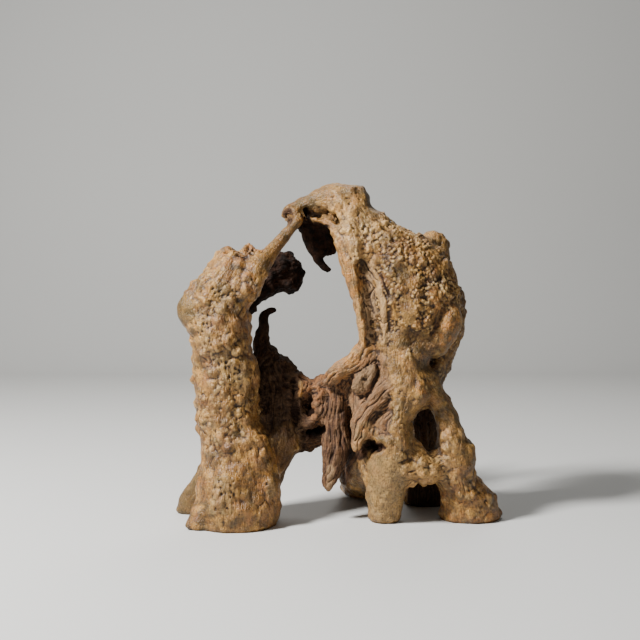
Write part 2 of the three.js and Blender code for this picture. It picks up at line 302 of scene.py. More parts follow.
@dataclass(frozen=True)
class Limb:
    """An ellipse carried along a smooth middle line, with rounded tips.

    stations are (x, y, z, half width, half depth), the half width across the limb as seen from the
    front. skins are (share of the length, Skin): what lies between two of them is blended, and the
    first and the last go on to the ends.
    """

    node: str
    stations: tuple[tuple[float, ...], ...]
    skins: tuple[tuple[float, Skin], ...]
    tip: float = 0.5
    slot: Slot = Slot.BURL_SKIN
    fewest_samples: ClassVar[int] = 8
    thinnest: ClassVar[float] = 1.5  # the least half size, in millimetres
    tip_end: ClassVar[float] = 0.96  # where a rounded tip is closed, as a share of a quarter turn
    search_spacing: ClassVar[float] = 5.0  # millimetres between the samples for finding vertices

    def line(self, spacing: float = 3.0) -> Line:
        """The middle line: a Catmull-Rom curve through the stations, in steps of about one spacing.

        Args:
            spacing: Millimetres between two samples.

        Returns:
            The samples. A side axis is the front-to-back axis times the tangent, and a depth axis is
            the side axis times the tangent.
        """
        s = np.array(self.stations, float)
        s = np.vstack([2 * s[0] - s[1], s, 2 * s[-1] - s[-2]])
        length = np.linalg.norm(np.diff(s[:, :3], axis=0), axis=1).sum()
        t = np.linspace(0, len(s) - 3, max(self.fewest_samples, int(length / spacing)))
        k = np.minimum(t.astype(int), len(s) - 4)
        f = (t - k)[:, None]
        a, b, c, d = s[k], s[k + 1], s[k + 2], s[k + 3]
        curve = b + 0.5 * f * (c - a + f * (2 * a - 5 * b + 4 * c - d + f * (3 * (b - c) + d - a)))
        points = curve[:, :3]
        tangent = unit(np.gradient(points, axis=0))
        side = unit(np.cross(BACKWARD, tangent))
        reach = np.concatenate([[0], np.cumsum(np.linalg.norm(np.diff(points, axis=0), axis=1))])
        halves = np.maximum(curve[:, 3:], self.thinnest)
        return Line(points, halves, tangent, side, np.cross(side, tangent), reach)

    def surface(self, around: int = 40, cap: int = 5) -> tuple[Array, list[tuple[int, ...]]]:
        """The limb's skin: middle + side * half width * cos(turn) + depth * half depth * sin(turn).

        The tips are quarter ellipses: the section shrinks by the cosine and moves out by the sine.

        Args:
            around: Points round a section.
            cap: Rings on a rounded tip.

        Returns:
            Points and faces of a closed shell.
        """
        line = self.line()
        turn = np.linspace(0, 2 * math.pi, around, endpoint=False)
        rise = np.linspace(0, math.pi / 2, cap + 1)[1:] * self.tip_end
        ends = np.concatenate([np.full(cap, 0), np.arange(len(line.points)), np.full(cap, -1)])
        shrink = np.concatenate([np.cos(rise[::-1]), np.ones(len(line.points)), np.cos(rise)])
        beyond = np.concatenate([-np.sin(rise[::-1]), np.zeros(len(line.points)), np.sin(rise)])
        halves = line.halves[ends] * shrink[:, None]
        tip = line.halves[ends].min(axis=1) * self.tip * beyond
        middle = line.points[ends] + line.tangent[ends] * tip[:, None]
        ring = (
            middle[:, None]
            + line.side[ends][:, None] * (halves[:, :1] * np.cos(turn))[..., None]
            + line.depth[ends][:, None] * (halves[:, 1:] * np.sin(turn))[..., None]
        )
        rings = len(ring)
        i, j = np.meshgrid(np.arange(rings - 1), np.arange(around), indexing="ij")
        n = (j + 1) % around
        quads = np.stack([i * around + j, (i + 1) * around + j, (i + 1) * around + n, i * around + n], -1)
        first = tuple(range(around))
        last = tuple(range(rings * around - 1, (rings - 1) * around - 1, -1))
        return ring.reshape(-1, 3), [first, last, *map(tuple, quads.reshape(-1, 4).tolist())]

    def near(self, points: Array, margin: float = 16.0) -> Nearness:
        """Finds the vertices round this limb and their place in its grain.

        The gap is r * (1 - 1 / q), with r the distance from the middle line and q that distance in
        units of the ellipse in the same direction, tips included.

        Args:
            points: Vertices, three numbers to a row.
            margin: How far outside the limb's box a vertex may lie.

        Returns:
            The rows that lie near, with their gap, grain coordinates and share.
        """
        line = self.line(self.search_spacing)
        wide = line.halves.max(axis=1, keepdims=True) + margin
        inside = (points > (line.points - wide).min(0)) & (points < (line.points + wide).max(0))
        rows = np.nonzero(inside.all(axis=1))[0]
        at = nearest_sample(points[rows], line.points)
        off = points[rows] - line.points[at]
        along = (off * line.tangent[at]).sum(1)
        ends = ((at == 0) & (along < 0)) | ((at == len(line.points) - 1) & (along > 0))
        reach = line.reach[at] + along
        halves = np.stack([np.interp(reach, line.reach, line.halves[:, c]) for c in range(2)], axis=1)
        a, b = ((off * axis[at]).sum(1) for axis in (line.side, line.depth))
        over = np.where(ends, along / (halves.min(axis=1) * self.tip), 0.0)
        size = np.sqrt((a / halves[:, 0]) ** 2 + (b / halves[:, 1]) ** 2 + over**2)
        radius = np.sqrt(a**2 + b**2 + np.where(ends, along, 0.0) ** 2)
        gap = radius * (1 - 1 / np.maximum(size, 1e-3))
        return Nearness(rows, gap, np.stack([a, b, reach], axis=1), np.clip(reach / line.reach[-1], 0, 1))

    def skin_at(self, share: Array) -> Array:
        """The skin's numbers at places along the limb.

        Args:
            share: Places, from 0 to 1.

        Returns:
            One row for each place, in the order of Skin's fields.
        """
        stops = [stop for stop, _ in self.skins]
        table = np.array([astuple(skin) for _, skin in self.skins])
        return np.stack([np.interp(share, stops, column) for column in table.T], axis=1)


@dataclass(frozen=True)
class Stroke:
    """A path on the root, of one point or more, and how far it reaches along each axis."""

    path: tuple[Point, ...]
    reach: Point
    furthest: ClassVar[float] = 2.2  # how far out a stroke is worked out, in units of its reach

    def distance(self, points: Array) -> tuple[Array, Array]:
        """The distance from the path, in units of the reach.

        Args:
            points: Vertices, three numbers to a row.

        Returns:
            The rows that lie within about two reaches, and their distances.
        """
        path = np.array(self.path, float) / self.reach
        low = (path.min(axis=0) - self.furthest) * self.reach
        high = (path.max(axis=0) + self.furthest) * self.reach
        rows = np.nonzero(((points > low) & (points < high)).all(axis=1))[0]
        here = points[rows] / self.reach
        best = np.linalg.norm(here - path[0], axis=1)
        for start, end in zip(path[:-1], path[1:]):
            run = end - start
            t = np.clip((here - start) @ run / (run @ run), 0.0, 1.0)
            best = np.minimum(best, np.linalg.norm(here - start - t[:, None] * run, axis=1))
        return rows, best


@dataclass(frozen=True)
class Mark(Stroke):
    """A swell or welt, or a hollow or furrow where the height is negative.

    The height falls off as exp(-distance^steep): 2 gives a bell, 4 a flat top with steep sides.
    """

    height: float
    steep: float = 2.0


@dataclass(frozen=True)
class Patch(Stroke):
    """A region whose skin differs from the rest of its limb, with a wavering outline."""

    skin: Skin
    waver: ClassVar[float] = 0.2  # in units of the reach
    waver_spacing: ClassVar[float] = 8.0
    edge: ClassVar[tuple[float, float]] = (0.7, 1.08)  # where the patch begins to fade, and its end

    def blend(self, points: Array) -> tuple[Array, Array]:
        """How far the patch covers the skin.

        Args:
            points: Vertices, three numbers to a row.

        Returns:
            The rows that lie near, and for each a share from 0 to 1.
        """
        rows, distance = self.distance(points)
        waver = self.waver * noise(points[rows] / self.waver_spacing, Seed.PATCH_EDGE)
        return rows, 1.0 - stepped(distance + waver, *self.edge)


@dataclass(frozen=True)
class RootPart:
    """A part of the root: its limbs, its skin's patches, and the marks on it.

    The swells are pressed in before the creases between the limbs are filled, and the cuts after that.
    """

    limbs: tuple[Limb, ...]
    swells: tuple[Mark, ...] = ()
    cuts: tuple[Mark, ...] = ()
    patches: tuple[Patch, ...] = ()

    def shells(self) -> Iterator[tuple[Array, list[tuple[int, ...]]]]:
        """Builds the closed shell of each limb."""
        return (limb.surface() for limb in self.limbs)

    def swelling(self, points: Array) -> Array:
        """How far the swells lift each vertex."""
        return self.lift(points, self.swells)

    def cutting(self, points: Array) -> Array:
        """How far the cuts lift each vertex."""
        return self.lift(points, self.cuts)

    @staticmethod
    def lift(points: Array, marks: tuple[Mark, ...]) -> Array:
        """The sum of the marks' heights.

        Args:
            points: Vertices, three numbers to a row.
            marks: The marks.

        Returns:
            How far each vertex is lifted.
        """
        total = np.zeros(len(points))
        for mark in marks:
            rows, distance = mark.distance(points)
            total[rows] += mark.height * np.exp(-(distance**mark.steep))
        return total

    def lay_patches(self, points: Array, skins: Array) -> None:
        """Blends the patches into the skin's numbers.

        Args:
            points: Vertices, three numbers to a row.
            skins: The skin's numbers, one row for each vertex, which are changed.
        """
        for patch in self.patches:
            rows, blend = patch.blend(points)
            blend = blend[:, None]
            skins[rows] = skins[rows] * (1 - blend) + np.array(astuple(patch.skin)) * blend

    def dress(self, name: str, mesh: bpy.types.Mesh, materials: dict[Slot, bpy.types.Material]) -> None:
        """Makes a piece of this part from its mesh and gives it its finish.

        Args:
            name: The piece's node.
            mesh: Its skin.
            materials: The finishes by slot.
        """
        slot = next(limb.slot for limb in self.limbs if limb.node == name)
        mesh.materials.append(materials[slot])
        piece = add_object(name + "_skin", mesh)
        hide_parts(name)
        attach(piece, "root")
        log.info("%s: %d faces, %s", name, len(mesh.polygons), slot.value)


@dataclass(frozen=True)
class LeftPillar(RootPart):
    """The knobbly column on the left, with its swollen foot and its heel."""

    limbs: tuple[Limb, ...] = (
        Limb("left_pillar", (
            (-110, -45, 299, 26, 24), (-119, -46, 285, 30, 28), (-128, -48, 270, 33, 31),
            (-134, -50, 255, 35.5, 33), (-136, -51, 241, 36, 34), (-133, -52, 226, 35, 34),
            (-130.5, -53, 210, 33.5, 34), (-130.5, -53, 194, 34.5, 33), (-126.5, -53, 170, 36.5, 33),
            (-127, -53, 141, 35.5, 33), (-122, -53, 112, 37.5, 35), (-114, -53, 83, 43, 38),
            (-111, -55, 55, 48, 42), (-113, -57, 26, 49, 45), (-115, -59, -8, 48, 46),
        ), ((0.66, KNOBBLY), (0.74, FIBROUS)), tip=0.4),
        Limb("left_pillar", (
            (-122, -47, 294, 14, 16), (-125, -47, 305, 9, 12), (-126, -46, 314, 5, 8),
        ), ((0.0, KNOBBLY), (1.0, CRUMBLY))),
        Limb("left_pillar", (
            (-104, -46, 296, 16, 17), (-101, -46, 309, 11, 13), (-99, -45, 317, 6, 7),
        ), ((0.0, KNOBBLY), (1.0, CRUMBLY))),
        Limb("left_pillar", (
            (-132, -74, 34, 16, 16), (-148, -79, 17, 13, 13), (-158, -82, 3, 11, 11),
        ), ((0.0, FIBROUS),)),
        Limb("left_heel", (
            (-143, -25, 60, 17, 18), (-157, -16, 36, 15, 16), (-170, -10, 16, 16, 15),
            (-177, -8, -4, 16, 15),
        ), ((0.0, FIBROUS), (0.4, OLIVE))),
    )
    swells: tuple[Mark, ...] = (
        Mark(((-169, -50, 244),), (17, 22, 20), 10.0),  # smooth bulge on the left side
        Mark(((-112, -52, 314),), (5, 12, 7), -4.0),  # notch between the two peaks
        Mark(((-124, -85, 272), (-128, -86, 250)), (11, 10, 9), -2.5),  # dents with clusters of pits
        Mark(((-148, -82, 190),), (9, 9, 13), -2.5),
        Mark(((-107, -86, 160),), (9, 9, 12), -2.5),
        Mark(((-101, -78, 186), (-99, -80, 152)), (6, 8, 8), 4.0),  # upright ridge on the right
        Mark(((-86, -50, 178), (-86, -52, 146)), (9, 10, 10), 3.5),  # lobe between pillar and web
        Mark(((-111, -90, 107),), (11, 9, 8), -4.0),  # dark dent above the foot
        Mark(((-90, -80, 103), (-82, -76, 97)), (9, 9, 9), 5.0),  # cluster of big knobs
        Mark(((-118, -92, 95),), (10, 8, 7), 3.0),
        Mark(((-127, -98, 50), (-130, -100, 30)), (15, 10, 13), 5.5),  # pitted pad on the foot
        Mark(((-147, -92, 56), (-138, -98, 64), (-124, -100, 65), (-111, -98, 58)), (6, 8, 6), 4.0),
        Mark(((-154, -80, 4),), (14, 14, 14), 5.0),  # toe at the front left
        Mark(((-72, -80, 47),), (9, 9, 13), 5.0),
        Mark(((-106, -100, 24), (-90, -97, 19), (-74, -90, 24)), (6, 8, 6), 2.5),
        Mark(((-86, -92, 60), (-92, -98, 34)), (9, 9, 12), -2.5),
    )
    cuts: tuple[Mark, ...] = (
        Mark(((-114, -62, 293),), (4, 6, 4), -4.0),  # holes in the eroded top
        Mark(((-106, -62, 299),), (3.5, 6, 5), -4.0),
        Mark(((-122, -66, 296),), (4, 6, 3), -3.0),
        Mark(((-93, -60, 301),), (3, 6, 3), -2.5),
        Mark(((-108, -101, 52), (-104, -102, 38), (-108, -103, 24)), (3, 6, 4), -1.2),
        Mark(((-101, -76, 112), (-95, -84, 90)), (2.5, 6, 4), -2.0),
    )
    patches: tuple[Patch, ...] = (
        Patch(((-170, -52, 246),), (20, 34, 19), OLIVE),
        Patch(((-108, -48, 314),), (30, 30, 13), Skin(lump=1.6, crag=2.6, groove=0.8, pit=2.0, warm=0.8)),
        Patch(((-95, -52, 292), (-86, -56, 276)), (13, 30, 12), Skin(lump=1.2, net=0.5, pit=0.6, cream=0.2)),
        Patch(((-117, -76, 297), (-102, -76, 287), (-94, -76, 271)), (10, 22, 8),
              Skin(wave=1.6, lump=2.2, flute=1.0, knob=0.4, wrinkle=0.6, pit=0.3, dark=0.14, warm=0.8)),
        Patch(((-128, -88, 276), (-126, -90, 252)), (15, 16, 12), PITTED),
        Patch(((-150, -80, 238), (-146, -84, 212)), (9, 14, 12), PITTED),
        Patch(((-124, -88, 186), (-110, -88, 166)), (12, 14, 12), PITTED),
        Patch(((-101, -80, 186), (-99, -80, 152)), (7, 14, 9), SMOOTH),
        Patch(((-111, -95, 106),), (13, 14, 9), OLIVE),
        Patch(((-127, -102, 50), (-130, -104, 28)), (20, 14, 16), PITTED_PAD),
        Patch(((-72, -84, 47),), (9, 14, 14), PITTED_PAD),
        Patch(((-118, -92, 97), (-90, -84, 103), (-80, -76, 96)), (10, 14, 9), KNOBBLY),
        Patch(((-140, -104, 10), (-80, -96, 14)), (14, 30, 11),
              Skin(lump=1.4, flute=0.8, net=0.3, wrinkle=0.15, groove=0.3, pit=0.1, warm=0.3)),
    )


@dataclass(frozen=True)
class CrossRoot(RootPart):
    """The rotted wall inside the pillar, the bare root that crosses to the trunk, and what rises behind."""

    limbs: tuple[Limb, ...] = (
        Limb("cross_root", (
            (-84, -9, 196, 12, 14), (-82, -11, 177, 22, 20), (-74, -13, 156, 31, 24),
            (-72, -17, 124, 32, 30), (-75, -23, 96, 33, 32), (-86, -31, 67, 32, 32),
            (-100, -37, 39, 30, 34),
        ), ((0.45, SPONGY),
            (0.62, Skin(wave=2.0, flute=1.4, groove=0.7, pit=0.6, bare=0.5, dark=0.55, warm=0.0)),
            (1.0, FIBROUS)), slot=Slot.BARE_WOOD),
        Limb("cross_root", (
            (-87, -19, 125, 46, 22), (-60, -17, 123, 50, 26), (-42, -15, 120, 45, 24),
            (-25, -17, 124, 41, 22), (-7, -23, 135, 34, 20), (11, -31, 156, 22, 18), (23, -37, 173, 15, 17),
            (34, -40, 190, 14, 17), (46, -43, 203, 15, 18),
        ), ((0.27, SPONGY), (0.37, CRUMBLY), (0.66, CRUMBLY), (0.8, LAYERED)), slot=Slot.BARE_WOOD),
        Limb("cross_root", (
            (43, -54, 209, 8, 10), (33, -57, 200, 10, 10), (19, -58, 187, 10.5, 10), (7, -57, 178, 10, 10),
            (-4, -55, 169, 9.5, 9.5), (-12, -52, 161, 7, 8),
        ), ((0.5, ORANGE_EDGE), (1.0, Skin(lump=1.2, groove=1.6, bare=0.9, warm=0.8))),
            slot=Slot.BARE_WOOD),
        Limb("cross_root", (
            (10, -26, 150, 18, 12), (16, -22, 120, 18, 12), (26, -20, 90, 20, 14), (34, -14, 64, 22, 18),
        ), ((0.0, CRUMBLY), (1.0, LAYERED)), slot=Slot.BARE_WOOD),
        Limb("spur", (
            (-86, -7, 188, 13, 12), (-88, -3, 204, 11, 9), (-85, -1, 223, 7, 7), (-86, 1, 234, 6, 6),
            (-81, 3, 240, 4.5, 5), (-72, 4, 242, 4, 4.5),
        ), ((0.0, SPONGY), (1.0, THIN_ROT_AND_SHADE)), tip=0.7, slot=Slot.DARK_WOOD),
        Limb("back_knob", (
            (-111, -25, 240, 10, 13), (-100, -9, 253, 9.5, 13), (-89, 3, 266, 13, 15),
            (-78, 13, 277, 18, 18), (-64, 21, 286, 25.5, 23), (-54, 25, 290, 24.5, 21),
        ), ((0.0, ROT_AND_SHADE),), slot=Slot.DARK_WOOD),
    )
    swells: tuple[Mark, ...] = (
        Mark(((-22, -30, 168),), (8, 10, 7), 7.0),  # bumps along the upper edge
        Mark(((-37, -28, 162),), (6, 10, 7), 4.0),
        Mark(((-64, -16, 178), (-54, -20, 166)), (9, 14, 8), 6.0),
        Mark(((-72, -25, 190), (-62, -40, 140)), (6, 10, 8), 4.0),  # ridges in the rotted wall
        Mark(((-83, -34, 150), (-74, -46, 106)), (8, 12, 9), -6.0),
        Mark(((-56, -38, 112),), (11, 12, 14), -5.0),
        Mark(((-50, -40, 86),), (9, 12, 10), 5.0),  # knobbly lump under the wall
        Mark(((-55, 2, 286),), (8, 12, 9), -7.0),  # hollow of the back knob
        Mark(((-45, 15, 296),), (10, 12, 7), 4.0),
    )
    cuts: tuple[Mark, ...] = (
        Mark(((-33, -36, 138), (-30, -36, 128)), (6, 13, 7), -15.0, 3.0),  # deep hole in the crumbly root
        Mark(((-42, -38, 166), (-40, -41, 148)), (3, 8, 4), 6.0),  # upright shards
        Mark(((-22, -40, 170), (-19, -41, 148), (-22, -41, 128)), (4, 8, 4), 5.5),
        Mark(((-38, -40, 110), (-26, -42, 118), (-13, -42, 130)), (4, 9, 3.5), 8.0),
        Mark(((-33, -40, 124), (-16, -43, 143)), (4, 8, 3), 3.5),
        Mark(((-49, -38, 160), (-46, -38, 112)), (3, 10, 5), -7.0, 3.0),
        Mark(((-31, -38, 99), (-15, -38, 107)), (6, 13, 5), -11.0, 3.0),
        Mark(((-11, -46, 152), (-10, -46, 118)), (2.5, 8, 5), -7.0),
        Mark(((-60, -36, 178), (-56, -38, 140)), (2.5, 8, 5), -3.5),
        Mark(((-68, -34, 172), (-66, -44, 130)), (2.5, 8, 5), -3.0),
        Mark(((4, -62, 156), (12, -62, 150), (13, -62, 140)), (3, 6, 3), 4.0),  # orange curl under the root
        Mark(((30, -70, 196), (12, -70, 178)), (1.4, 6, 1.4), -1.8),
    )
    patches: tuple[Patch, ...] = (
        Patch(((-50, -44, 88),), (11, 14, 12), Skin(lump=1.4, knob=1.8, net=1.4, pit=1.0, dark=0.2)),
        Patch(((6, -62, 154), (13, -62, 140)), (6, 10, 7), ORANGE_EDGE),
        # painted shade in the deep holes of the crumbly root
        Patch(((-31, -36, 136), (-29, -36, 127)), (6, 14, 8), ROT_AND_SHADE),
        Patch(((-30, -38, 98), (-14, -38, 106)), (10, 20, 7), ROT_AND_SHADE),
        Patch(((-42, -40, 168), (-40, -42, 146)), (4.5, 9, 6), ORANGE_EDGE),
        Patch(((-58, -40, 100), (-66, -44, 84)), (15, 18, 17),
              Skin(wave=1.6, lump=0.8, flute=1.2, groove=0.5, bare=0.4, dark=0.5, warm=0.0)),
    )


@dataclass(frozen=True)
class CrownArch(RootPart):
    """The link branch, the crown with its sawn end, and the dark shards that hang under it."""

    limbs: tuple[Limb, ...] = (
        Limb("link_branch", (
            (-110, -59, 252, 14, 12), (-101, -63, 271, 17, 15), (-88, -55, 294, 13, 13),
            (-73, -45, 313, 9, 9), (-60, -39, 329, 7.5, 8), (-49, -38, 343, 7.5, 8), (-36, -36, 352, 7, 8),
        ), ((0.0, KNOBBLY), (0.25, SMOOTH), (0.45, LINK))),
        Limb("crown", (
            (-57, -36, 353, 11, 11.5), (-49, -27, 359, 11, 12), (-37, -23, 364, 11, 13),
            (-26, -23, 368, 13, 16), (-13, -24, 371, 17, 22), (8, -26, 368, 23, 27), (24, -28, 356, 26, 30),
        ), ((0.6, SMOOTH), (1.0, WRINKLED)), tip=0.2),
        Limb("crown", (
            (12, -27, 350, 27, 27), (11, -27, 370, 27, 26), (11, -27, 383, 24, 22),
        ), ((0.0, WRINKLED), (0.6, SMOOTH)), tip=0.3),
        Limb("hanging_hook", (
            (-38, -13, 350, 10, 8), (-32, -7, 326, 8, 6), (-24, -3, 308, 6, 5), (-19, -1, 299, 5.5, 5),
            (-8, -1, 289, 4.5, 4),
        ), ((0.0, ROT_AND_SHADE), (0.5, THIN_ROT_AND_SHADE)), tip=0.6, slot=Slot.DARK_WOOD),
        Limb("hanging_plate", (
            (-18, -13, 356, 13, 9), (-11, -5, 333, 12, 7), (-9, -3, 309, 10, 5),
        ), ((0.0, ROT_AND_SHADE), (1.0, Skin(wave=1.0, crag=1.6, groove=1.2, bare=0.8, dark=1.0, warm=0.0))),
            slot=Slot.DARK_WOOD),
    )
    swells: tuple[Mark, ...] = (
        Mark(((-38, -34, 366), (-20, -44, 372)), (8, 9, 6), 2.5),  # lit ridge from the sawn end to the top
        Mark(((-8, -48, 362),), (12, 10, 9), -3.0),
        Mark(((4, -52, 366), (18, -56, 352)), (8, 10, 9), 3.0),
        Mark(((41, -40, 366),), (9, 16, 10), -1.0),  # smooth hollow on the crown's right
        Mark(((-4, -26, 386),), (10, 18, 6), 3.0),
    )
    cuts: tuple[Mark, ...] = (
        Mark(((-35, -40, 358), (-27, -42, 354), (-18.5, -45, 353), (-10.5, -48, 355), (-4, -52, 351.5),
              (1, -55, 345)), (2.8, 14, 3.0), -14.0, 3.0),  # dark slit over the lip
        Mark(((-34, -40, 353), (-32, -36, 341)), (5, 12, 6), -6.0),  # dark hollow beside the link
        Mark(((-60, -41, 352),), (9.5, 11, 11.5), -4.5, 4.0),  # hollow sawn end
        Mark(((12, -56, 372),), (4, 6, 2.5), -2.5),
        Mark(((28, -54, 368),), (3.5, 6, 3), -3.0),
        Mark(((-2, -54, 358),), (3, 6, 4), -2.0),
    )
    patches: tuple[Patch, ...] = (
        Patch(((-60, -42, 352),), (11.5, 13, 13.5),
              Skin(wave=0.2, lump=0.0, wrinkle=0.5, groove=1.2, pit=0.8, bare=1.0, dark=0.55, warm=0.0)),
        # painted shade in the slit over the lip
        Patch(((-35, -40, 358), (-27, -43, 354), (-18.5, -46, 352.8), (-10.5, -50, 355), (-4, -54, 351.5),
               (1, -57, 345)), (4, 16, 3.8), ROT_AND_SHADE),
        # painted shade in the hollow beside the link
        Patch(((-35, -40, 352), (-33, -34, 340)), (6.5, 16, 9), THIN_ROT_AND_SHADE),
        # painted shade under the lip
        Patch(((-24, -38, 342), (-12, -42, 340)), (8, 14, 3.5), THIN_ROT_AND_SHADE),
        Patch(((42, -40, 374), (44, -42, 356)), (10, 26, 12), OLIVE),
        Patch(((8, -50, 366),), (24, 20, 11),
              Skin(wave=1.0, lump=1.2, net=1.4, groove=0.5, pit=1.8, cream=0.35, warm=0.6)),
        Patch(((-20, -50, 344), (-36, -46, 346)), (9, 12, 5), Skin(wave=0.6, groove=0.8, dark=0.2, warm=0.8)),
    )


@dataclass(frozen=True)
class Trunk(RootPart):
    """The broad beaded trunk on the right, its orange left edge, its weathered hollow and its stub."""

    limbs: tuple[Limb, ...] = (
        Limb("right_trunk", (
            (18, -29, 353, 25, 28), (30, -31, 337, 29, 32), (44, -33, 319, 37, 38), (60, -34, 301, 48, 42),
            (74, -35, 285, 56, 45), (81, -36, 265, 60, 46), (84, -37, 244, 59, 46), (83, -38, 223, 54, 43),
            (76, -41, 205, 44, 38), (73, -43, 191, 34, 34), (76, -46, 173, 30, 33), (79, -49, 150, 34, 34),
        ), ((0.13, WRINKLED), (0.24, BEADED), (0.68, BEADED), (0.76, SMOOTH))),
        Limb("right_trunk", (
            (14, -46, 338, 14, 22), (20, -50, 318, 16, 24), (24, -52, 300, 13, 22),
        ), ((0.0, WRINKLED),)),
        Limb("right_trunk", (
            (117, -49, 258, 14, 18), (128, -51, 232, 15, 20), (118, -53, 205, 10, 14),
        ), ((0.0, BEADED), (0.3, SMOOTH)), tip=0.6),
        Limb("shoulder_stub", (
            (102, -15, 272, 26, 26), (112, -7, 298, 23, 24), (116, -1, 318, 19, 20),
        ), ((0.55, BEADED), (0.8, SMOOTH)), tip=1.0),
        Limb("edge_strand", (
            (-34, -33, 350, 4, 6), (-18, -39, 348, 4.5, 8), (-5, -43, 341, 6, 10), (4, -47, 330, 8.5, 13),
            (10, -52, 314, 10, 14), (16, -57, 296, 10, 15), (20, -60, 276, 8.5, 14),
            (25.5, -62, 256, 6.5, 13), (29.5, -63, 234, 6, 13), (33.5, -58, 208, 6.5, 14),
        ), ((0.0, SMOOTH), (0.25, ORANGE_EDGE))),
    )
    swells: tuple[Mark, ...] = (
        Mark(((34, -74, 290), (36, -77, 262), (38, -77, 232), (42, -73, 208)), (9, 10, 7), -5.0),  # recess
        Mark(((60, -83, 268), (62, -83, 246), (62, -80, 226)), (6, 9, 8), 3.0),  # beaded column
        Mark(((75, -84, 288),), (9, 9, 10), -4.5),  # smooth dents between the beads
        Mark(((76, -85, 256),), (8, 9, 9), -4.0),
        Mark(((98, -78, 294),), (9, 9, 8), -2.5),
        Mark(((96, -80, 236), (92, -80, 226)), (8, 9, 8), -2.5),
        Mark(((88, -84, 272), (88, -84, 246)), (7, 9, 8), 3.0),
        Mark(((108, -72, 270),), (6, 7, 6), 3.0),  # big orange knobs
        Mark(((118, -68, 264),), (6, 7, 5), 3.0),
        Mark(((105, -75, 256),), (5, 7, 6), 3.0),
        Mark(((115, -70, 249),), (6, 7, 5), 3.0),
        Mark(((92, -80, 213),), (14, 14, 12), -7.0),  # undercut waist
        Mark(((128, -63, 234), (121, -66, 214)), (9, 13, 13), 5.0),  # flank
        Mark(((120, -68, 246), (114, -71, 230), (104, -75, 212)), (3.6, 9, 6), -8.0),
        Mark(((51, -45, 350),), (6, 8, 5), 5.0),  # sawn twig at the trunk's top
        Mark(((84, -22, 334),), (13, 24, 9), -5.0),  # valley before the stub
        Mark(((78, -76, 192),), (9, 8, 9), 5.0),  # cluster of knobs on the waist
    )
    cuts: tuple[Mark, ...] = (
        Mark(((28, -74, 298), (29, -77, 279), (31, -78, 256), (34, -78, 232), (37, -74, 206)),
             (3.4, 9, 4), -6.5, 4.0),  # steep left wall of the recess
        Mark(((31, -76, 294), (33, -78, 276)), (6, 10, 6), -6.5, 3.0),  # dark pocket at its top
        Mark(((40, -82, 298), (46, -83, 274), (51.5, -82, 246), (54.5, -78, 212)), (2.2, 9, 4), 5.0),  # slat
        Mark(((42, -80, 276), (46, -80, 250), (49, -77, 222)), (1.6, 9, 4), -4.0),  # slits beside it
        Mark(((46, -82, 294), (50, -83, 282), (57, -84, 264)), (2.2, 9, 3), -8.0),
        Mark(((58, -83, 246), (60, -81, 222)), (1.8, 9, 4), -5.0),
        Mark(((36, -74, 268), (37, -74, 244), (40, -73, 218)), (1.4, 7, 4), -2.2),
        Mark(((14, -70, 300), (20, -74, 268), (27, -76, 236)), (1.6, 7, 4), -1.6),
        Mark(((107, -78, 251),), (3, 6, 4), -2.5),
        Mark(((97, -82, 243),), (3, 6, 4), -2.5),
        Mark(((45, -72, 322), (52, -78, 308)), (2.2, 7, 4), -2.0),
    )
    patches: tuple[Patch, ...] = (
        Patch(((34, -76, 292), (36, -78, 256), (40, -76, 212)), (10, 18, 9), SLATTED),
        Patch(((40, -82, 299), (46, -83, 274), (51.5, -82, 246), (54.5, -78, 212)), (5, 18, 5),
              Skin(wave=0.6, flute=0.8, wrinkle=0.5, groove=1.2, bare=0.4, cream=0.8, warm=0.3)),
        # painted shade in the deep pocket at the top of the recess
        Patch(((31, -78, 294), (33, -79, 277)), (4.5, 16, 6), ROT_AND_SHADE),
        Patch(((24, -68, 262), (26, -69, 236), (29, -63, 208)), (2.8, 14, 5),
              Skin(wave=0.8, flute=1.0, groove=0.6, cream=0.5, warm=1.0)),
        # painted shade in the slit beside the slat
        Patch(((49, -84, 285), (57, -85, 264)), (2.6, 14, 3.5), THIN_ROT_AND_SHADE),
        Patch(((75, -84, 288),), (11, 14, 11), DENT),
        Patch(((76, -85, 256), (80, -84, 236)), (8, 14, 8), DENT),
        Patch(((120, -70, 247), (114, -73, 230), (104, -77, 212)), (3.2, 14, 5),
              Skin(wave=0.8, flute=1.0, groove=0.4, bare=0.5, dark=0.5, warm=0.5)),
        # undercut waist: dark olive wood, darker still as painted shade under the trunk's bulk
        Patch(((82, -82, 214), (104, -76, 206)), (16, 20, 12),
              Skin(wave=0.8, lump=0.8, bead=0.3, flute=1.2, wrinkle=0.2, dark=0.42, olive=0.4, warm=0.3)),
        Patch(((112, -72, 260),), (15, 16, 16),
              Skin(wave=1.0, lump=2.0, knob=1.6, bead=0.5, wrinkle=0.3, olive=0.2, warm=0.8)),
        Patch(((130, -62, 236), (122, -65, 214)), (12, 24, 13),
              Skin(wave=1.0, lump=1.0, flute=1.4, groove=0.5, wrinkle=0.3, warm=0.9)),
        Patch(((78, -76, 192),), (14, 14, 14),
              Skin(wave=1.2, lump=2.4, knob=1.6, net=0.6, wrinkle=0.4, cream=0.3, warm=0.5)),
    )


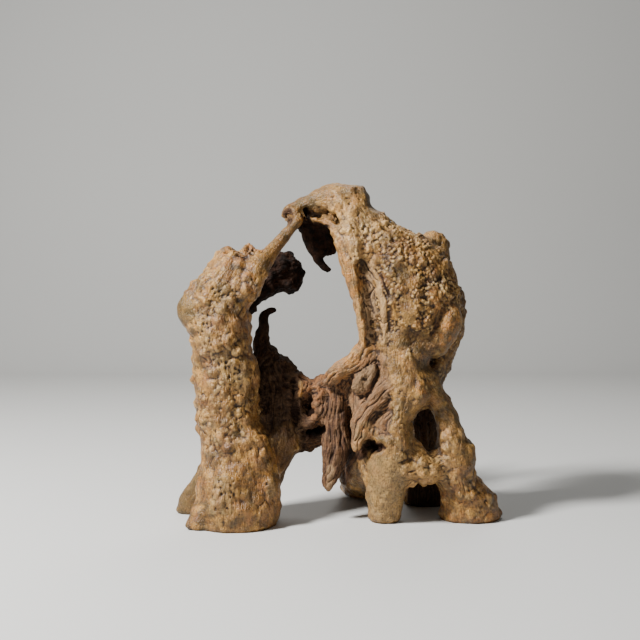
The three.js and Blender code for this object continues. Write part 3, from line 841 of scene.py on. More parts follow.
@dataclass(frozen=True)
class Shards(RootPart):
    """The layered bare wood that hangs from the waist: a curled shard, a knot plate and a long shard."""

    limbs: tuple[Limb, ...] = (
        Limb("long_shard", (
            (-1, -39, 152, 13, 13), (-1, -45, 113, 14, 12), (-0.5, -49, 86, 16, 12), (-4, -51, 66, 13, 11),
            (-7.5, -51, 50, 9.5, 9), (-9, -51, 38, 5, 6),
        ), ((0.0, CRUMBLY), (0.2, SPLINTERED)), slot=Slot.BARE_WOOD),
        Limb("curled_shard", (
            (66, -43, 196, 26, 26), (49, -45, 168, 27, 24), (40, -49, 142, 24, 20), (36, -51, 118, 17, 14),
        ), ((0.0, SMOOTH), (0.25, LAYERED)), slot=Slot.BARE_WOOD),
        Limb("curled_shard", (
            (78, -54, 158, 14, 18), (61, -62, 151, 19, 17), (44, -66, 138, 19, 14), (31, -67, 120, 15, 12),
            (25, -67, 101, 10, 9), (22.5, -67, 84, 4, 4),
        ), ((0.0, SMOOTH), (0.2, LAYERED)), slot=Slot.BARE_WOOD),
        Limb("curled_shard", (
            (66, -55, 124, 16, 16), (49, -61, 112, 12, 10), (38, -63, 104, 7, 6),
        ), ((0.0, SMOOTH), (0.4, LAYERED)), slot=Slot.BARE_WOOD),
        Limb("curled_shard", (
            (47, -58, 188, 6, 8), (39, -64, 177, 12, 9), (29, -66, 164, 13, 9), (18, -63, 152, 6, 6),
        ), ((0.0, LAYERED), (1.0, Skin(wave=0.6, groove=1.0, crag=1.0, pit=1.6, bare=1.0, warm=0.0))),
            slot=Slot.BARE_WOOD),
    )
    swells: tuple[Mark, ...] = (
        Mark(((55, -74, 146), (58, -78, 114)), (7, 9, 8), -4.0),
    )
    cuts: tuple[Mark, ...] = (
        Mark(((47, -68, 188), (33, -72, 184), (20, -72, 173), (13, -70, 162), (14, -70, 151), (21, -72, 145),
              (32, -74, 149), (41, -74, 159), (47, -72, 171), (47, -68, 188)),
             (2.3, 12, 2.3), -6.0, 3.0),  # furrow round the plate
        Mark(((27, -76, 170), (32, -76, 160)), (2.2, 8, 3), -3.5),  # crack in the plate
        Mark(((58, -82, 144), (48, -82, 130), (41, -80, 120)), (2, 8, 3), -5.0),  # crack across the curl
        Mark(((40, -82, 146), (26, -80, 128), (20, -78, 104)), (1.8, 7, 2.4), -3.0),
        Mark(((50, -82, 138), (34, -80, 118), (27, -77, 98)), (1.8, 7, 2.4), -3.0),
        Mark(((33, -80, 145), (21, -77, 124), (16, -74, 104)), (1.6, 7, 2.4), -2.4),
        Mark(((51, -66, 92), (37, -62, 90)), (6, 17, 7.5), -15.0, 3.0),  # dark hole under the curl
        Mark(((-6, -58, 120), (-3, -62, 70)), (1.8, 7, 5), -3.0),
        Mark(((5, -60, 126), (6, -62, 92)), (1.8, 7, 5), -3.0),
        Mark(((10, -58, 84), (7, -62, 58)), (1.6, 7, 4), -2.6),
    )
    patches: tuple[Patch, ...] = (
        Patch(((30, -76, 112), (22.5, -74, 86)), (9, 16, 11),
              Skin(wave=0.6, flute=1.4, groove=1.5, bare=0.6, cream=0.5, warm=0.7)),
        Patch(((-7, -62, 62), (-9, -60, 42)), (4.5, 12, 7),
              Skin(wave=0.6, flute=1.4, groove=1.2, pit=0.6, bare=1.0, cream=0.3, warm=0.1)),
        Patch(((38, -72, 176), (24, -74, 160)), (10, 16, 10),
              Skin(wave=0.4, crag=1.8, wrinkle=0.7, pit=1.6, bare=1.0, dark=0.15, cream=0.3, warm=0.0)),
    )


@dataclass(frozen=True)
class Legs(RootPart):
    """The sawn front leg, the lumpy band, the right leg with its foot, and the two roots that run back."""

    limbs: tuple[Limb, ...] = (
        Limb("back_leg", (
            (131, -1, 262, 21, 26), (138, 1, 234, 18, 26), (131, 1, 203, 17, 26), (117, -1, 169, 16, 25),
            (108, -1, 134, 16, 25), (108, 10, 100, 21, 26), (112, 24, 64, 25, 26), (113, 34, 28, 27, 25),
            (113, 38, -8, 28, 25),
        ), ((0.4, SHADED), (0.5, SPONGY),
            (0.68, Skin(wave=2.6, lump=1.6, flute=2.6, groove=0.8, pit=0.8, dark=0.3, warm=0.2)),
            (1.0, FIBROUS))),
        Limb("front_leg", (
            (76, -50, 150, 31, 32), (63, -55, 119, 21, 29), (64, -57, 99, 27, 30), (61, -56, 70, 27, 28),
            (57.5, -53, 38, 22.5, 23), (56.5, -49, 17, 19.5, 19), (55.5, -47, -6, 17.5, 17),
        ), ((0.35, SMOOTH), (0.5, LUMPY), (0.62, SMOOTH))),
        Limb("front_leg", (
            (76, -56, 56, 9, 9), (81, -56, 44, 4, 4), (83, -56, 36, 1.6, 2),
        ), ((0.0, SMOOTH), (1.0, CRUMBLY)), tip=0.8),
        Limb("lump_band", (
            (62, -57, 86, 28, 26), (84, -60, 71, 25, 23), (104, -58, 63, 18.5, 21), (124, -50, 64, 18, 21),
        ), ((0.0, LUMPY),)),
        Limb("right_leg", (
            (98, -45, 162, 20, 26), (119, -45, 138, 13.5, 20), (127.5, -46, 120, 12.5, 20),
            (132, -47, 99, 16, 23), (137, -48, 76, 22, 26), (139, -47, 58, 22.5, 26),
            (144, -44, 40, 24, 26), (152, -40, 19, 33, 27), (156, -37, 2, 36.5, 28),
            (157, -37, -12, 37, 28),
        ), ((0.5, SMOOTH),
            (0.7, Skin(wave=1.8, lump=1.8, flute=1.0, knob=0.6, net=0.4, warm=0.5)), (1.0, FIBROUS))),
        Limb("mid_root", (
            (62, -45, 100, 30, 30), (47, -30, 74, 32, 30), (37, 0, 52, 30, 28), (34, 46, 33, 28, 25),
            (35, 89.5, 10, 26, 22),
        ), ((0.0, SMOOTH), (0.4, Skin(wave=2.0, lump=1.2, flute=2.0, groove=0.5, cream=0.2, warm=0.1)),
            (1.0, FIBROUS)), slot=Slot.BARE_WOOD),
    )
    swells: tuple[Mark, ...] = (
        Mark(((93, -76, 151),), (12, 10, 12), 7.0),  # orange lump over the hole
        Mark(((108, -70, 146), (93, -76, 139), (82, -80, 128), (78, -80, 117)), (5, 8, 5), 3.0),  # its rim
        Mark(((66, -80, 168), (64, -80, 140), (67, -80, 112), (74, -82, 95)), (6, 8, 7), 3.5),
        Mark(((55, -80, 146), (57, -80, 112)), (6, 8, 8), -3.5),
        Mark(((118, -64, 132), (120, -66, 110), (113, -72, 88)), (5, 8, 6), 4.0),  # flange beside the hole
        Mark(((130, -68, 96),), (8, 8, 12), 3.0),
        Mark(((58, -84, 91),), (7, 8, 7), 4.0),  # lumps of the band
        Mark(((69, -86, 82),), (7, 8, 7), 4.5),
        Mark(((61, -86, 70),), (6, 8, 6), 4.0),
        Mark(((76, -86, 68),), (7, 8, 7), 4.5),
        Mark(((84, -84, 59),), (6, 8, 6), 4.0),
        Mark(((93, -84, 69),), (7, 8, 7), 5.0),
        Mark(((99, -80, 78),), (6, 8, 5), 2.5),
        Mark(((104, -80, 59),), (6, 8, 6), 4.0),
        Mark(((111, -78, 69),), (6, 8, 6), 4.0),
        Mark(((122, -72, 76),), (7, 8, 7), 4.0),
        Mark(((152, -56, 84),), (8, 12, 10), 4.0),  # lump on the right leg's outline
        Mark(((159, -48, 60),), (6, 14, 5), -4.0),
        Mark(((124, -62, 45), (125, -60, 39)), (4, 5, 4), 4.0),  # small ear under the band
        Mark(((134, -68, 45), (150, -66, 33), (166, -60, 27), (178, -52, 18)), (7, 9, 6), 3.0),
        Mark(((46, -60, 66), (34, -46, 52)), (9, 12, 9), 3.0),
        Mark(((50, 60, 30), (60, 66, 20)), (9, 9, 12), 4.0),
        Mark(((110, 30, 90), (96, 60, 44)), (8, 10, 8), 3.0),
    )
    cuts: tuple[Mark, ...] = (
        Mark(((120, -71, 68),), (2.2, 5, 2.2), -2.5),
        Mark(((69, -91, 82),), (1.8, 5, 1.8), -2.0),
        Mark(((93, -89, 66), (96, -88, 74)), (1.8, 5, 1.8), -2.0),
        Mark(((72, -88, 76), (88, -88, 62), (100, -84, 66)), (1.6, 6, 1.6), -2.0),
        Mark(((146, -64, 58), (156, -62, 44), (160, -62, 30)), (2, 7, 3), -2.4),
        Mark(((60, -80, 150), (61, -82, 124)), (1.8, 7, 4), -2.0),
    )
    patches: tuple[Patch, ...] = (
        Patch(((94, -78, 157),), (12, 14, 11), Skin(wave=1.0, lump=1.8, knob=1.2, net=1.2, warm=0.9)),
        Patch(((66, -82, 156), (64, -82, 134), (68, -82, 108)), (6, 12, 8),
              Skin(wave=1.0, lump=1.6, knob=1.4, net=0.8, wrinkle=0.5, olive=0.3, warm=0.2)),
        Patch(((124, -70, 112), (118, -76, 86)), (10, 14, 14), LUMPY),
        Patch(((52, -76, 148), (54, -78, 126), (53, -76, 112)), (8, 16, 10), LAYERED),
        Patch(((57, -72, 66), (57, -66, 20)), (24, 24, 22), SAWN_LEG),
        # painted shade: dark bare wood on the mid root beside the long shard
        Patch(((22, -36, 84), (14, -14, 56), (12, 6, 44)), (13, 22, 16),
              Skin(wave=2.0, flute=2.0, groove=0.8, bare=1.0, dark=0.6, warm=0.3)),
        # painted shade: dark bare wood on the back leg's foot, seen through the arch
        Patch(((114, 6, 42), (114, 12, 8)), (44, 14, 30),
              Skin(wave=2.6, lump=1.6, flute=2.6, groove=0.8, bare=1.0, dark=0.75, warm=0.0)),
        # painted shade in the hole under the curl
        Patch(((51, -68, 92), (37, -64, 90)), (7.5, 20, 8.5), ROT_AND_SHADE),
        # painted shade: dark bare wood beside the long shard
        Patch(((14, -42, 78), (26, -54, 80)), (10, 22, 9),
              Skin(wave=1.6, flute=1.6, groove=0.8, bare=1.0, dark=0.8, warm=0.2)),
        Patch(((140, -66, 44), (168, -60, 26)), (14, 16, 12),
              Skin(wave=1.8, lump=1.8, flute=1.4, knob=0.5, net=0.6, wrinkle=0.4, groove=0.5, warm=0.4)),
    )


def read_shell(mesh: bpy.types.Mesh) -> tuple[Array, Array]:
    """Reads a mesh of quads.

    Args:
        mesh: The mesh, in metres.

    Returns:
        Points in millimetres, and four corners to a face.
    """
    points = np.zeros(len(mesh.vertices) * 3)
    mesh.vertices.foreach_get("co", points)
    corners = np.zeros(len(mesh.loops), int)
    mesh.loops.foreach_get("vertex_index", corners)
    return points.reshape(-1, 3) / MM, corners.reshape(-1, 4)


def make_mesh(name: str, points: Array, faces: list[Array]) -> bpy.types.Mesh:
    """A mesh in metres from points in millimetres.

    Args:
        name: The mesh's name.
        points: Vertices, three numbers to a row.
        faces: Arrays of corners, each with as many columns as its faces have corners.

    Returns:
        The mesh.
    """
    mesh = bpy.data.meshes.new(name)
    corners = np.concatenate([face.ravel() for face in faces])
    totals = np.concatenate([np.full(len(face), face.shape[1]) for face in faces])
    mesh.vertices.add(len(points))
    mesh.loops.add(len(corners))
    mesh.polygons.add(len(totals))
    mesh.vertices.foreach_set("co", (points * MM).astype(np.float32).ravel())
    mesh.loops.foreach_set("vertex_index", corners.astype(np.int32))
    mesh.polygons.foreach_set("loop_start", (np.cumsum(totals) - totals).astype(np.int32))
    mesh.update(calc_edges=True)
    return mesh


def through_modifier(mesh: bpy.types.Mesh, kind: str, **settings: object) -> tuple[Array, Array]:
    """The mesh after one modifier.

    Args:
        mesh: The mesh, which is removed afterwards.
        kind: The modifier's type.
        settings: Its properties.

    Returns:
        Points in millimetres, and four corners to a face.
    """
    shell = add_object("shell", mesh)
    modifier = shell.modifiers.new(kind, kind)
    for name, value in settings.items():
        setattr(modifier, name, value)
    finished = shell.evaluated_get(bpy.context.evaluated_depsgraph_get())
    result = read_shell(finished.to_mesh())
    finished.to_mesh_clear()
    bpy.data.objects.remove(shell)
    bpy.data.meshes.remove(mesh)
    return result


def face_normals(points: Array, quads: Array) -> Array:
    """The cross product of each quad's diagonals, which is as long as twice its area."""
    a, b, c, d = (points[quads[:, k]] for k in range(4))
    return np.cross(c - a, d - b)


def vertex_sums(rows: Array, values: Array, count: int) -> Array:
    """Adds up the values that go to the same vertex, for each column."""
    return np.stack([np.bincount(rows, column, count) for column in values.T], axis=1)


def vertex_normals(points: Array, quads: Array) -> Array:
    """The mean direction of the faces round each vertex, by area."""
    spread = np.repeat(face_normals(points, quads), 4, axis=0)
    return unit(vertex_sums(quads.ravel(), spread, len(points)))


class Neighbours:
    """The edges of a shell, for averages over each vertex's neighbours."""

    def __init__(self, quads: Array, count: int) -> None:
        """Lists each edge once from either end.

        Args:
            quads: The shell's faces.
            count: How many vertices it has.
        """
        ends = np.concatenate([quads[:, [k, (k + 1) % 4]] for k in range(4)])
        self.start, self.end = ends.T
        self.count = count
        self.degree = np.maximum(np.bincount(self.start, minlength=count), 1)[:, None]

    def mean(self, values: Array) -> Array:
        """The mean over the neighbours of each vertex."""
        return vertex_sums(self.start, values[self.end], self.count) / self.degree


@dataclass(frozen=True)
class Weave:
    """A noise pattern stretched along the grain, with its spacing across and along, and its height."""

    across: float
    along: float
    height: float
    seed: Seed

    def places(self, grain: Array) -> Array:
        """Places along the grain in units of the pattern's cell."""
        return grain / (self.across, self.across, self.along)

    def noise(self, grain: Array, limb: int) -> Array:
        """The pattern's noise, with a seed of its own for each limb."""
        return noise(self.places(grain), self.seed + limb)


@dataclass(frozen=True)
class Domes:
    """Low domes over the seed points of cells."""

    spacing: Point
    radius: float  # in cells
    height: float
    sink: float  # how far the ground between the domes lies under the surface
    seed: Seed
    lowest: ClassVar[float] = 0.3  # the share of a dome whose cell drew 0

    def rise(self, points: Array) -> Array:
        """A smooth step down to 0 at the radius, times the lowest share plus the cell's random one."""
        away, share = cells(points / self.spacing, self.seed)
        return (1.0 - stepped(away, 0.0, self.radius)) * (self.lowest + share)

    def lift(self, dome: Array) -> Array:
        """The height over the surface: the dome's rise times the height, less the sink."""
        return dome * self.height - self.sink


@dataclass(frozen=True)
class Wells:
    """Small wells on the seed points of some cells, given by random shares. Radii are in cells."""

    floor: float
    edge: float
    none_below: float
    full_from: float = 0.5

    def depth(self, away: Array, share: Array) -> Array:
        """From 0 outside to 1 on the floor of a full well: one smooth step times the other."""
        return (1.0 - stepped(away, self.floor, self.edge)) * stepped(share, self.none_below, self.full_from)


@dataclass(frozen=True)
class Relief:
    """The skin's relief at every vertex. Spacings and heights are millimetres.

    A pair of numbers holds the two ends of a smooth step.
    """

    least: float = 0.04  # a kind of relief is worked out where the skin has more of it than this
    wander: float = 1.6
    wander_spacing: float = 15.0
    wavers: tuple[tuple[float, float, Seed], ...] = (  # how far, spacing and seed
        (6.0, 26.0, Seed.WAVER),
        (1.2, 9.0, Seed.FINE_WAVER),
    )
    groove_level: float = 0.35
    deep: Weave = Weave(across=8.5, along=75.0, height=1.1, seed=Seed.DEEP_GROOVE)
    deep_wall: tuple[float, float] = (0.0, 0.24)
    thin: Weave = Weave(across=4.2, along=46.0, height=0.5, seed=Seed.THIN_GROOVE)
    thin_wall: tuple[float, float] = (0.0, 0.3)
    ledge: Weave = Weave(across=12.0, along=90.0, height=0.5, seed=Seed.LEDGE)
    ledge_wall: tuple[float, float] = (-0.12, 0.06)
    fine: Weave = Weave(across=2.6, along=24.0, height=0.22, seed=Seed.FINE_GRAIN)
    flute: Weave = Weave(across=13.0, along=75.0, height=1.6, seed=Seed.FLUTE)
    flute_level: float = 0.5
    net: Weave = Weave(across=4.6, along=6.6, height=1.7, seed=Seed.NET)
    net_wells: Wells = Wells(floor=0.08, edge=0.5, none_below=0.2)
    net_rim: tuple[float, float] = (0.42, 0.72)
    net_rim_height: float = 0.4
    # share of the net rims that gets the painted highlight
    net_rim_highlight: float = 0.25
    net_crowd: tuple[float, float] = (1.0, 1.5)
    net_crowd_spacing: float = 20.0
    wave_spacing: float = 38.0
    wave_layers: int = 2
    vigour: tuple[float, float] = (-0.5, 0.5)
    vigour_spacing: float = 21.0
    vigour_least: float = 0.3
    fold_height: float = 2.1
    fold_spacing: float = 6.2
    fold_wander: float = 0.5
    fine_fold_height: float = 0.9
    fine_fold_spacing: float = 3.1
    fold_sink: float = 0.6
    fold_crest: tuple[float, float] = (0.0, 1.1)
    # share of the fold crests that gets the painted highlight
    fold_highlight: float = 0.7
    lumps: Domes = Domes((13.0, 13.0, 13.0), radius=0.75, height=1.5, sink=0.45, seed=Seed.LUMP)
    knobs: Domes = Domes((5.2, 5.2, 6.4), radius=0.8, height=1.4, sink=0.5, seed=Seed.KNOB)
    knob_crest: tuple[float, float] = (0.4, 1.1)
    bead_spacing: float = 3.7
    bead_wander: float = 0.7
    bead_radius: float = 0.5  # in cells, as the next one
    bead_radius_more: float = 0.18
    bead_height: float = 0.6
    bead_sink: float = 0.35
    bead_crest: tuple[float, float] = (0.5, 1.1)
    bead_crowd: tuple[float, float] = (-0.6, -0.05)
    bead_crowd_spacing: float = 17.0
    crag_spacing: float = 13.0
    crag_layers: int = 4
    crag_level: float = 0.5
    crag_height: float = 1.6
    pit_spacing: float = 7.2
    pits: Wells = Wells(floor=0.14, edge=0.36, none_below=0.35)

    def along_grain(self, grain: Array, points: Array, limb: int) -> Array:
        """The patterns that run along a limb.

        Grooves are narrow valleys where stretched noise crosses zero, with ledges between. Flutes are
        folded noise. The net is a cell pattern stretched along the limb, with its pits on the seed
        points and rims between them.

        Args:
            grain: Offsets along side and depth, and the length along the limb.
            points: The same vertices in space, for the waver of the patterns.
            limb: The limb's number, which gives it its own patterns.

        Returns:
            Four columns: the grooves' height, the flutes' height, the pits and the net's rims.
        """
        waver = sum(noise_columns(points / spacing, seed, 2) * by for by, spacing, seed in self.wavers)
        grain = np.column_stack([grain[:, :2] + waver, grain[:, 2]])
        deep, thin = (np.abs(weave.noise(grain, limb)) for weave in (self.deep, self.thin))
        grooves = (
            self.groove_level
            - self.deep.height * (1.0 - stepped(deep, *self.deep_wall))
            - self.thin.height * (1.0 - stepped(thin, *self.thin_wall))
            + self.ledge.height * (stepped(self.ledge.noise(grain, limb), *self.ledge_wall) - 0.5)
            + self.fine.height * self.fine.noise(grain, limb)
        )
        flute = self.flute_level - self.flute.height * np.abs(self.flute.noise(grain, limb))
        away, share = cells(self.net.places(grain), self.net.seed + limb)
        well = self.net_wells.depth(away, share)
        return np.column_stack([grooves, flute, well, stepped(away, *self.net_rim)])

    def height(self, points: Array, skin: dict[str, Array], patterns: Array) -> tuple[Array, Array]:
        """The height of the skin's relief.

        A knob is a low dome over a cell's seed point, a bead a half ball, a lump a wide soft dome, and a
        pit a small well, in some of the cells only. Folds are the size of noise, round on top and creased
        where it crosses zero, and crags are deeper ones. The vigour of folds and knobs comes and goes
        over some 20 mm, and so does the crowd of beads or of net pits.

        Args:
            points: Vertices, three numbers to a row.
            skin: The skin's numbers at each vertex, by name.
            patterns: The grooves, flutes, net pits and net rims at each vertex.

        Returns:
            The height in millimetres, and how much of it stands out as knobs, 0 to 1, for the painted
            highlight.
        """
        wander = noise_columns(points / self.wander_spacing, Seed.WANDER, 3) * self.wander
        grooves, flute, well, rim = patterns.T
        waves = layered_noise(points / self.wave_spacing, Seed.WAVE, self.wave_layers)
        height = skin["wave"] * waves + skin["groove"] * grooves
        swing = stepped(noise(points / self.vigour_spacing, Seed.VIGOUR), *self.vigour)
        vigour = self.vigour_least + swing
        bent = points + self.fold_wander * wander
        coarse = np.abs(noise(bent / self.fold_spacing, Seed.FOLD))
        fine = np.abs(noise(points / self.fine_fold_spacing, Seed.FINE_FOLD))
        folds = self.fold_height * coarse + self.fine_fold_height * fine - self.fold_sink
        folds *= vigour
        height += skin["flute"] * flute + skin["wrinkle"] * folds
        crowd = noise(points / self.net_crowd_spacing, Seed.NET_CROWD) + skin["net"]
        crowd = stepped(crowd, *self.net_crowd)
        height += crowd * (self.net_rim_height * rim - self.net.height * well)
        # rise gathers fold crests, net rims, knob tops and bead tops, where the finish paints a pale
        # highlight
        crest = self.fold_highlight * stepped(folds, *self.fold_crest) * np.minimum(skin["wrinkle"], 1.0)
        rise = self.net_rim_highlight * crowd * rim + crest

        def over(name: str) -> Array:
            """The vertices where this kind of relief shows."""
            return np.nonzero(skin[name] > self.least)[0]

        rows = over("lump")
        dome = self.lumps.rise(points[rows] + wander[rows])
        height[rows] += skin["lump"][rows] * self.lumps.lift(dome)
        rows = over("knob")
        dome = self.knobs.rise(points[rows] + wander[rows])
        height[rows] += skin["knob"][rows] * vigour[rows] * self.knobs.lift(dome)
        rise[rows] += stepped(dome, *self.knob_crest) * np.minimum(skin["knob"][rows], 1.0)
        rows = over("bead")
        ball = self.beads(points[rows] + self.bead_wander * wander[rows])
        crowd = noise(points[rows] / self.bead_crowd_spacing, Seed.BEAD_CROWD)
        crowd = stepped(crowd, *self.bead_crowd)
        height[rows] += skin["bead"][rows] * (ball * crowd - self.bead_sink)
        rise[rows] += stepped(ball, *self.bead_crest) * crowd * np.minimum(skin["bead"][rows], 1.0)
        rows = over("crag")
        places = (points[rows] + wander[rows]) / self.crag_spacing
        folded = np.abs(layered_noise(places, Seed.CRAG, self.crag_layers))
        crags = self.crag_level - self.crag_height * stepped(folded, 0.0, 1.0)
        height[rows] += skin["crag"][rows] * crags
        rows = over("pit")
        away, share = cells((points[rows] - wander[rows]) / self.pit_spacing, Seed.PIT)
        height[rows] -= skin["pit"][rows] * self.pits.depth(away, share)
        return height, np.clip(rise, 0.0, 1.0)

    def beads(self, points: Array) -> Array:
        """Half balls over the seed points of cells, as the root of 1 - (distance / radius)^2.

        Args:
            points: Vertices that wander, three numbers to a row.

        Returns:
            The balls' height. A cell's random share makes a ball wider and higher.
        """
        away, share = cells(points / self.bead_spacing, Seed.BEAD)
        radius = self.bead_radius + self.bead_radius_more * share
        return np.sqrt(np.clip(1.0 - (away / radius) ** 2, 0.0, 1.0)) * (
            self.bead_height + self.bead_height * share
        )


@dataclass(eq=False)
class RootShell:
    """The skin of the whole root as one closed surface, from joined limbs down to the finest relief.

    Lengths are millimetres. A hollow scale holds rounds of averaging, the depth that counts as full,
    and the share that it adds.
    """

    parts: tuple[RootPart, ...]
    relief: Relief = Relief()
    rough_voxel: float = 2.6
    fine_voxel: float = 2.05
    even_steps: tuple[float, ...] = (0.5, -0.52, 0.5, -0.52, 0.4)
    crease_rounds: int = 22
    crease_least: float = 0.015
    crease_share: float = 0.9
    fork_blend: float = 2.5  # a limb that lies this much further off counts for about a third, 1 / e
    fork_least: float = 0.02  # a smaller share of a limb's skin is left out
    out_of_reach: float = 1e3
    limb_step: float = 100.0  # keeps the finish's grain pattern of one limb off the next one's
    sole: float = 0.7  # what stands lower than this is flat on the ground
    relief_from: float = 4.0  # the height from which the relief is whole
    undercut: float = 1.3
    undercut_height: float = 5.0
    wall_tilt: float = 0.8  # a normal that points more up or down than this isn't a wall's
    cap_spacing: float = 6.0
    hollow_scales: tuple[tuple[int, float, float], ...] = ((4, 0.9, 0.65), (30, 2.2, 0.7))
    hollow_range: tuple[float, float] = (-0.5, 1.0)
    limbs: list[Limb] = field(init=False)
    names: list[str] = field(init=False)
    points: Array = field(init=False)
    quads: Array = field(init=False)

    def __post_init__(self) -> None:
        """Lists the limbs, and the names of the pieces in the order in which they first come."""
        self.limbs = [limb for part in self.parts for limb in part.limbs]
        self.names = list(dict.fromkeys(limb.node for limb in self.limbs))

    def join(self) -> None:
        """Joins the limbs' closed shells into one."""
        points, faces, first = [], [], 0
        for part in self.parts:
            for skin, corners in part.shells():
                points.append(skin)
                faces += [tuple(first + c for c in face) for face in corners]
                first += len(skin)
        mesh = bpy.data.meshes.new("limbs")
        mesh.from_pydata(np.concatenate(points) * MM, [], faces)
        self.remesh(mesh, self.rough_voxel)

    def remesh(self, mesh: bpy.types.Mesh, voxel: float) -> None:
        """Takes a mesh over as the shell, remeshed in even quads.

        Args:
            mesh: The mesh.
            voxel: The quads' size.
        """
        size = voxel * MM
        self.points, self.quads = through_modifier(mesh, "REMESH", mode="VOXEL", voxel_size=size)

    def press(self, lift: Array) -> None:
        """Moves the skin along its normals, saws it off at the ground and remeshes it.

        Args:
            lift: How far each vertex moves.
        """
        normals = vertex_normals(self.points, self.quads)
        mesh = make_mesh("pressed", self.points + normals * lift[:, None], [self.quads])
        work = bmesh.new()
        work.from_mesh(mesh)
        everything = [*work.verts, *work.edges, *work.faces]
        bmesh.ops.bisect_plane(
            work, geom=everything, plane_co=(0, 0, 0), plane_no=(0, 0, -1), clear_outer=True
        )
        bmesh.ops.holes_fill(work, edges=[edge for edge in work.edges if edge.is_boundary])
        work.to_mesh(mesh)
        work.free()
        self.remesh(mesh, self.fine_voxel)

    def even(self) -> None:
        """Takes out the remeshed steps, and flattens the soles.

        Each vertex goes halfway to its neighbours' mean and back by a little more, twice, and then part
        of the way once more.
        """
        near = Neighbours(self.quads, len(self.points))
        for step in self.even_steps:
            self.points += step * (near.mean(self.points) - self.points)
        self.points[:, 2] = np.where(self.points[:, 2] < self.sole, 0.0, self.points[:, 2])

    def fill_creases(self) -> None:
        """Fills the creases where limbs meet.

        A vertex moves along its normal, only outwards, by the part of the way to its neighbours' mean
        that lies along that normal.
        """
        near = Neighbours(self.quads, len(self.points))
        for _ in range(self.crease_rounds):
            normals = vertex_normals(self.points, self.quads)
            pull = ((near.mean(self.points) - self.points) * normals).sum(axis=1)
            push = np.clip(pull - self.crease_least, 0.0, None) * self.crease_share
            self.points += normals * push[:, None]

    def refine(self) -> None:
        """Parts each quad in four, on a Catmull-Clark surface."""
        mesh = make_mesh("soft", self.points, [self.quads])
        self.points, self.quads = through_modifier(mesh, "SUBSURF", levels=1, render_levels=1)

    def grow_skin(self) -> dict[str, Array]:
        """Raises the relief over the whole shell.

        Returns:
            Numbers at each vertex by name, for the finishes, and the label of its piece.
        """
        count = len(self.points)
        near = [limb.near(self.points) for limb in self.limbs]
        gap = np.full((len(self.limbs), count), self.out_of_reach, np.float32)
        for k, part in enumerate(near):
            gap[k, part.rows] = part.gap
        weight = np.exp((gap.min(axis=0) - gap) / self.fork_blend)
        weight /= weight.sum(axis=0)
        skins = np.zeros((count, len(fields(Skin))))
        patterns = np.zeros((count, 4))
        grain = np.zeros((count, 3))
        nearest = gap.argmin(axis=0)
        for k, (limb, part) in enumerate(zip(self.limbs, near)):
            keep = weight[k, part.rows] > self.fork_least
            rows = part.rows[keep]
            share = weight[k, rows, None]
            skins[rows] += share * limb.skin_at(part.share[keep])
            patterns[rows] += share * self.relief.along_grain(part.grain[keep], self.points[rows], k)
            own = nearest[rows] == k
            grain[rows[own]] = part.grain[keep][own] + self.limb_step * k
        for part in self.parts:
            part.lay_patches(self.points, skins)
        skin = {f.name: skins[:, k] for k, f in enumerate(fields(Skin))}
        normals = vertex_normals(self.points, self.quads)
        height, rise = self.relief.height(self.points, skin, patterns)
        height *= stepped(self.points[:, 2], 0.0, self.relief_from)
        self.points = self.points + normals * height[:, None]
        self.round_soles(normals)
        labels = np.array([self.names.index(limb.node) for limb in self.limbs])[nearest]
        shades = {name: skin[name] for name in TINTS}
        # rise is painted as a highlight, and hollow as painted shade
        return {**shades, "rise": rise, "hollow": self.hollows(), "grain": grain, "label": labels}

    def round_soles(self, normals: Array) -> None:
        """Draws the skin in towards the ground, by the square of the height that is missing.

        Args:
            normals: The direction at each vertex.
        """
        low = np.clip(1.0 - self.points[:, 2] / self.undercut_height, 0.0, 1.0) ** 2
        wall = normals * (np.abs(normals[:, 2:]) < self.wall_tilt) * (1.0, 1.0, 0.0)
        self.points -= unit(wall) * (low * self.undercut)[:, None]
        self.points[:, 2] = np.maximum(self.points[:, 2], 0.0)

    def hollows(self) -> Array:
        """How deep each vertex lies under the mean of its surroundings, near and wide.

        Returns:
            Shares that are below 0 on crests and above 1 in the deepest folds.
        """
        near = Neighbours(self.quads, len(self.points))
        normals = vertex_normals(self.points, self.quads)
        mean, total = self.points, 0.0
        for rounds, full, share in self.hollow_scales:
            for _ in range(rounds):
                mean = near.mean(mean)
            depth = ((mean - self.points) * normals).sum(axis=1)
            total = total + np.clip(depth / full, *self.hollow_range) * share
        return total

    def parted(self, shades: dict[str, Array]) -> Iterator[tuple[str, bpy.types.Mesh]]:
        """Parts the shell at the forks into closed pieces.

        A face goes with its first corner's label.

        Args:
            shades: Numbers at each vertex, with the labels.

        Yields:
            Each piece's name and mesh.
        """
        label = shades["label"][self.quads[:, 0]]
        for k, name in enumerate(self.names):
            used, flat = np.unique(self.quads[label == k], return_inverse=True)
            quads = flat.reshape(-1, 4)
            points = self.points[used]
            rim, hub = self.rims(points, quads)
            inner, caps = self.caps(name, points, rim, hub)
            mesh = make_mesh(name, np.vstack([points, inner]), [quads, caps])
            for shade, values in shades.items():
                if shade != "label":
                    self.write_shade(mesh, shade, values[used])
            mesh.polygons.foreach_set("use_smooth", np.arange(len(mesh.polygons)) < len(quads))
            self.sharpen_rim(mesh, rim)
            mesh.update()
            mesh.validate()
            yield name, mesh

    @staticmethod
    def write_shade(mesh: bpy.types.Mesh, name: str, values: Array) -> None:
        """Stores numbers, or vectors in metres, at the mesh's first vertices, and zero at the rest.

        Args:
            mesh: The piece's mesh.
            name: The attribute's name.
            values: A number, or a vector in millimetres, for each of the first vertices.
        """
        vector = values.ndim == 2
        rest = np.zeros((len(mesh.vertices) - len(values), *values.shape[1:]))
        layer = mesh.attributes.new(name, "FLOAT_VECTOR" if vector else "FLOAT", "POINT")
        whole = np.concatenate([values, rest]) * (MM if vector else 1.0)
        layer.data.foreach_set("vector" if vector else "value", whole.ravel())

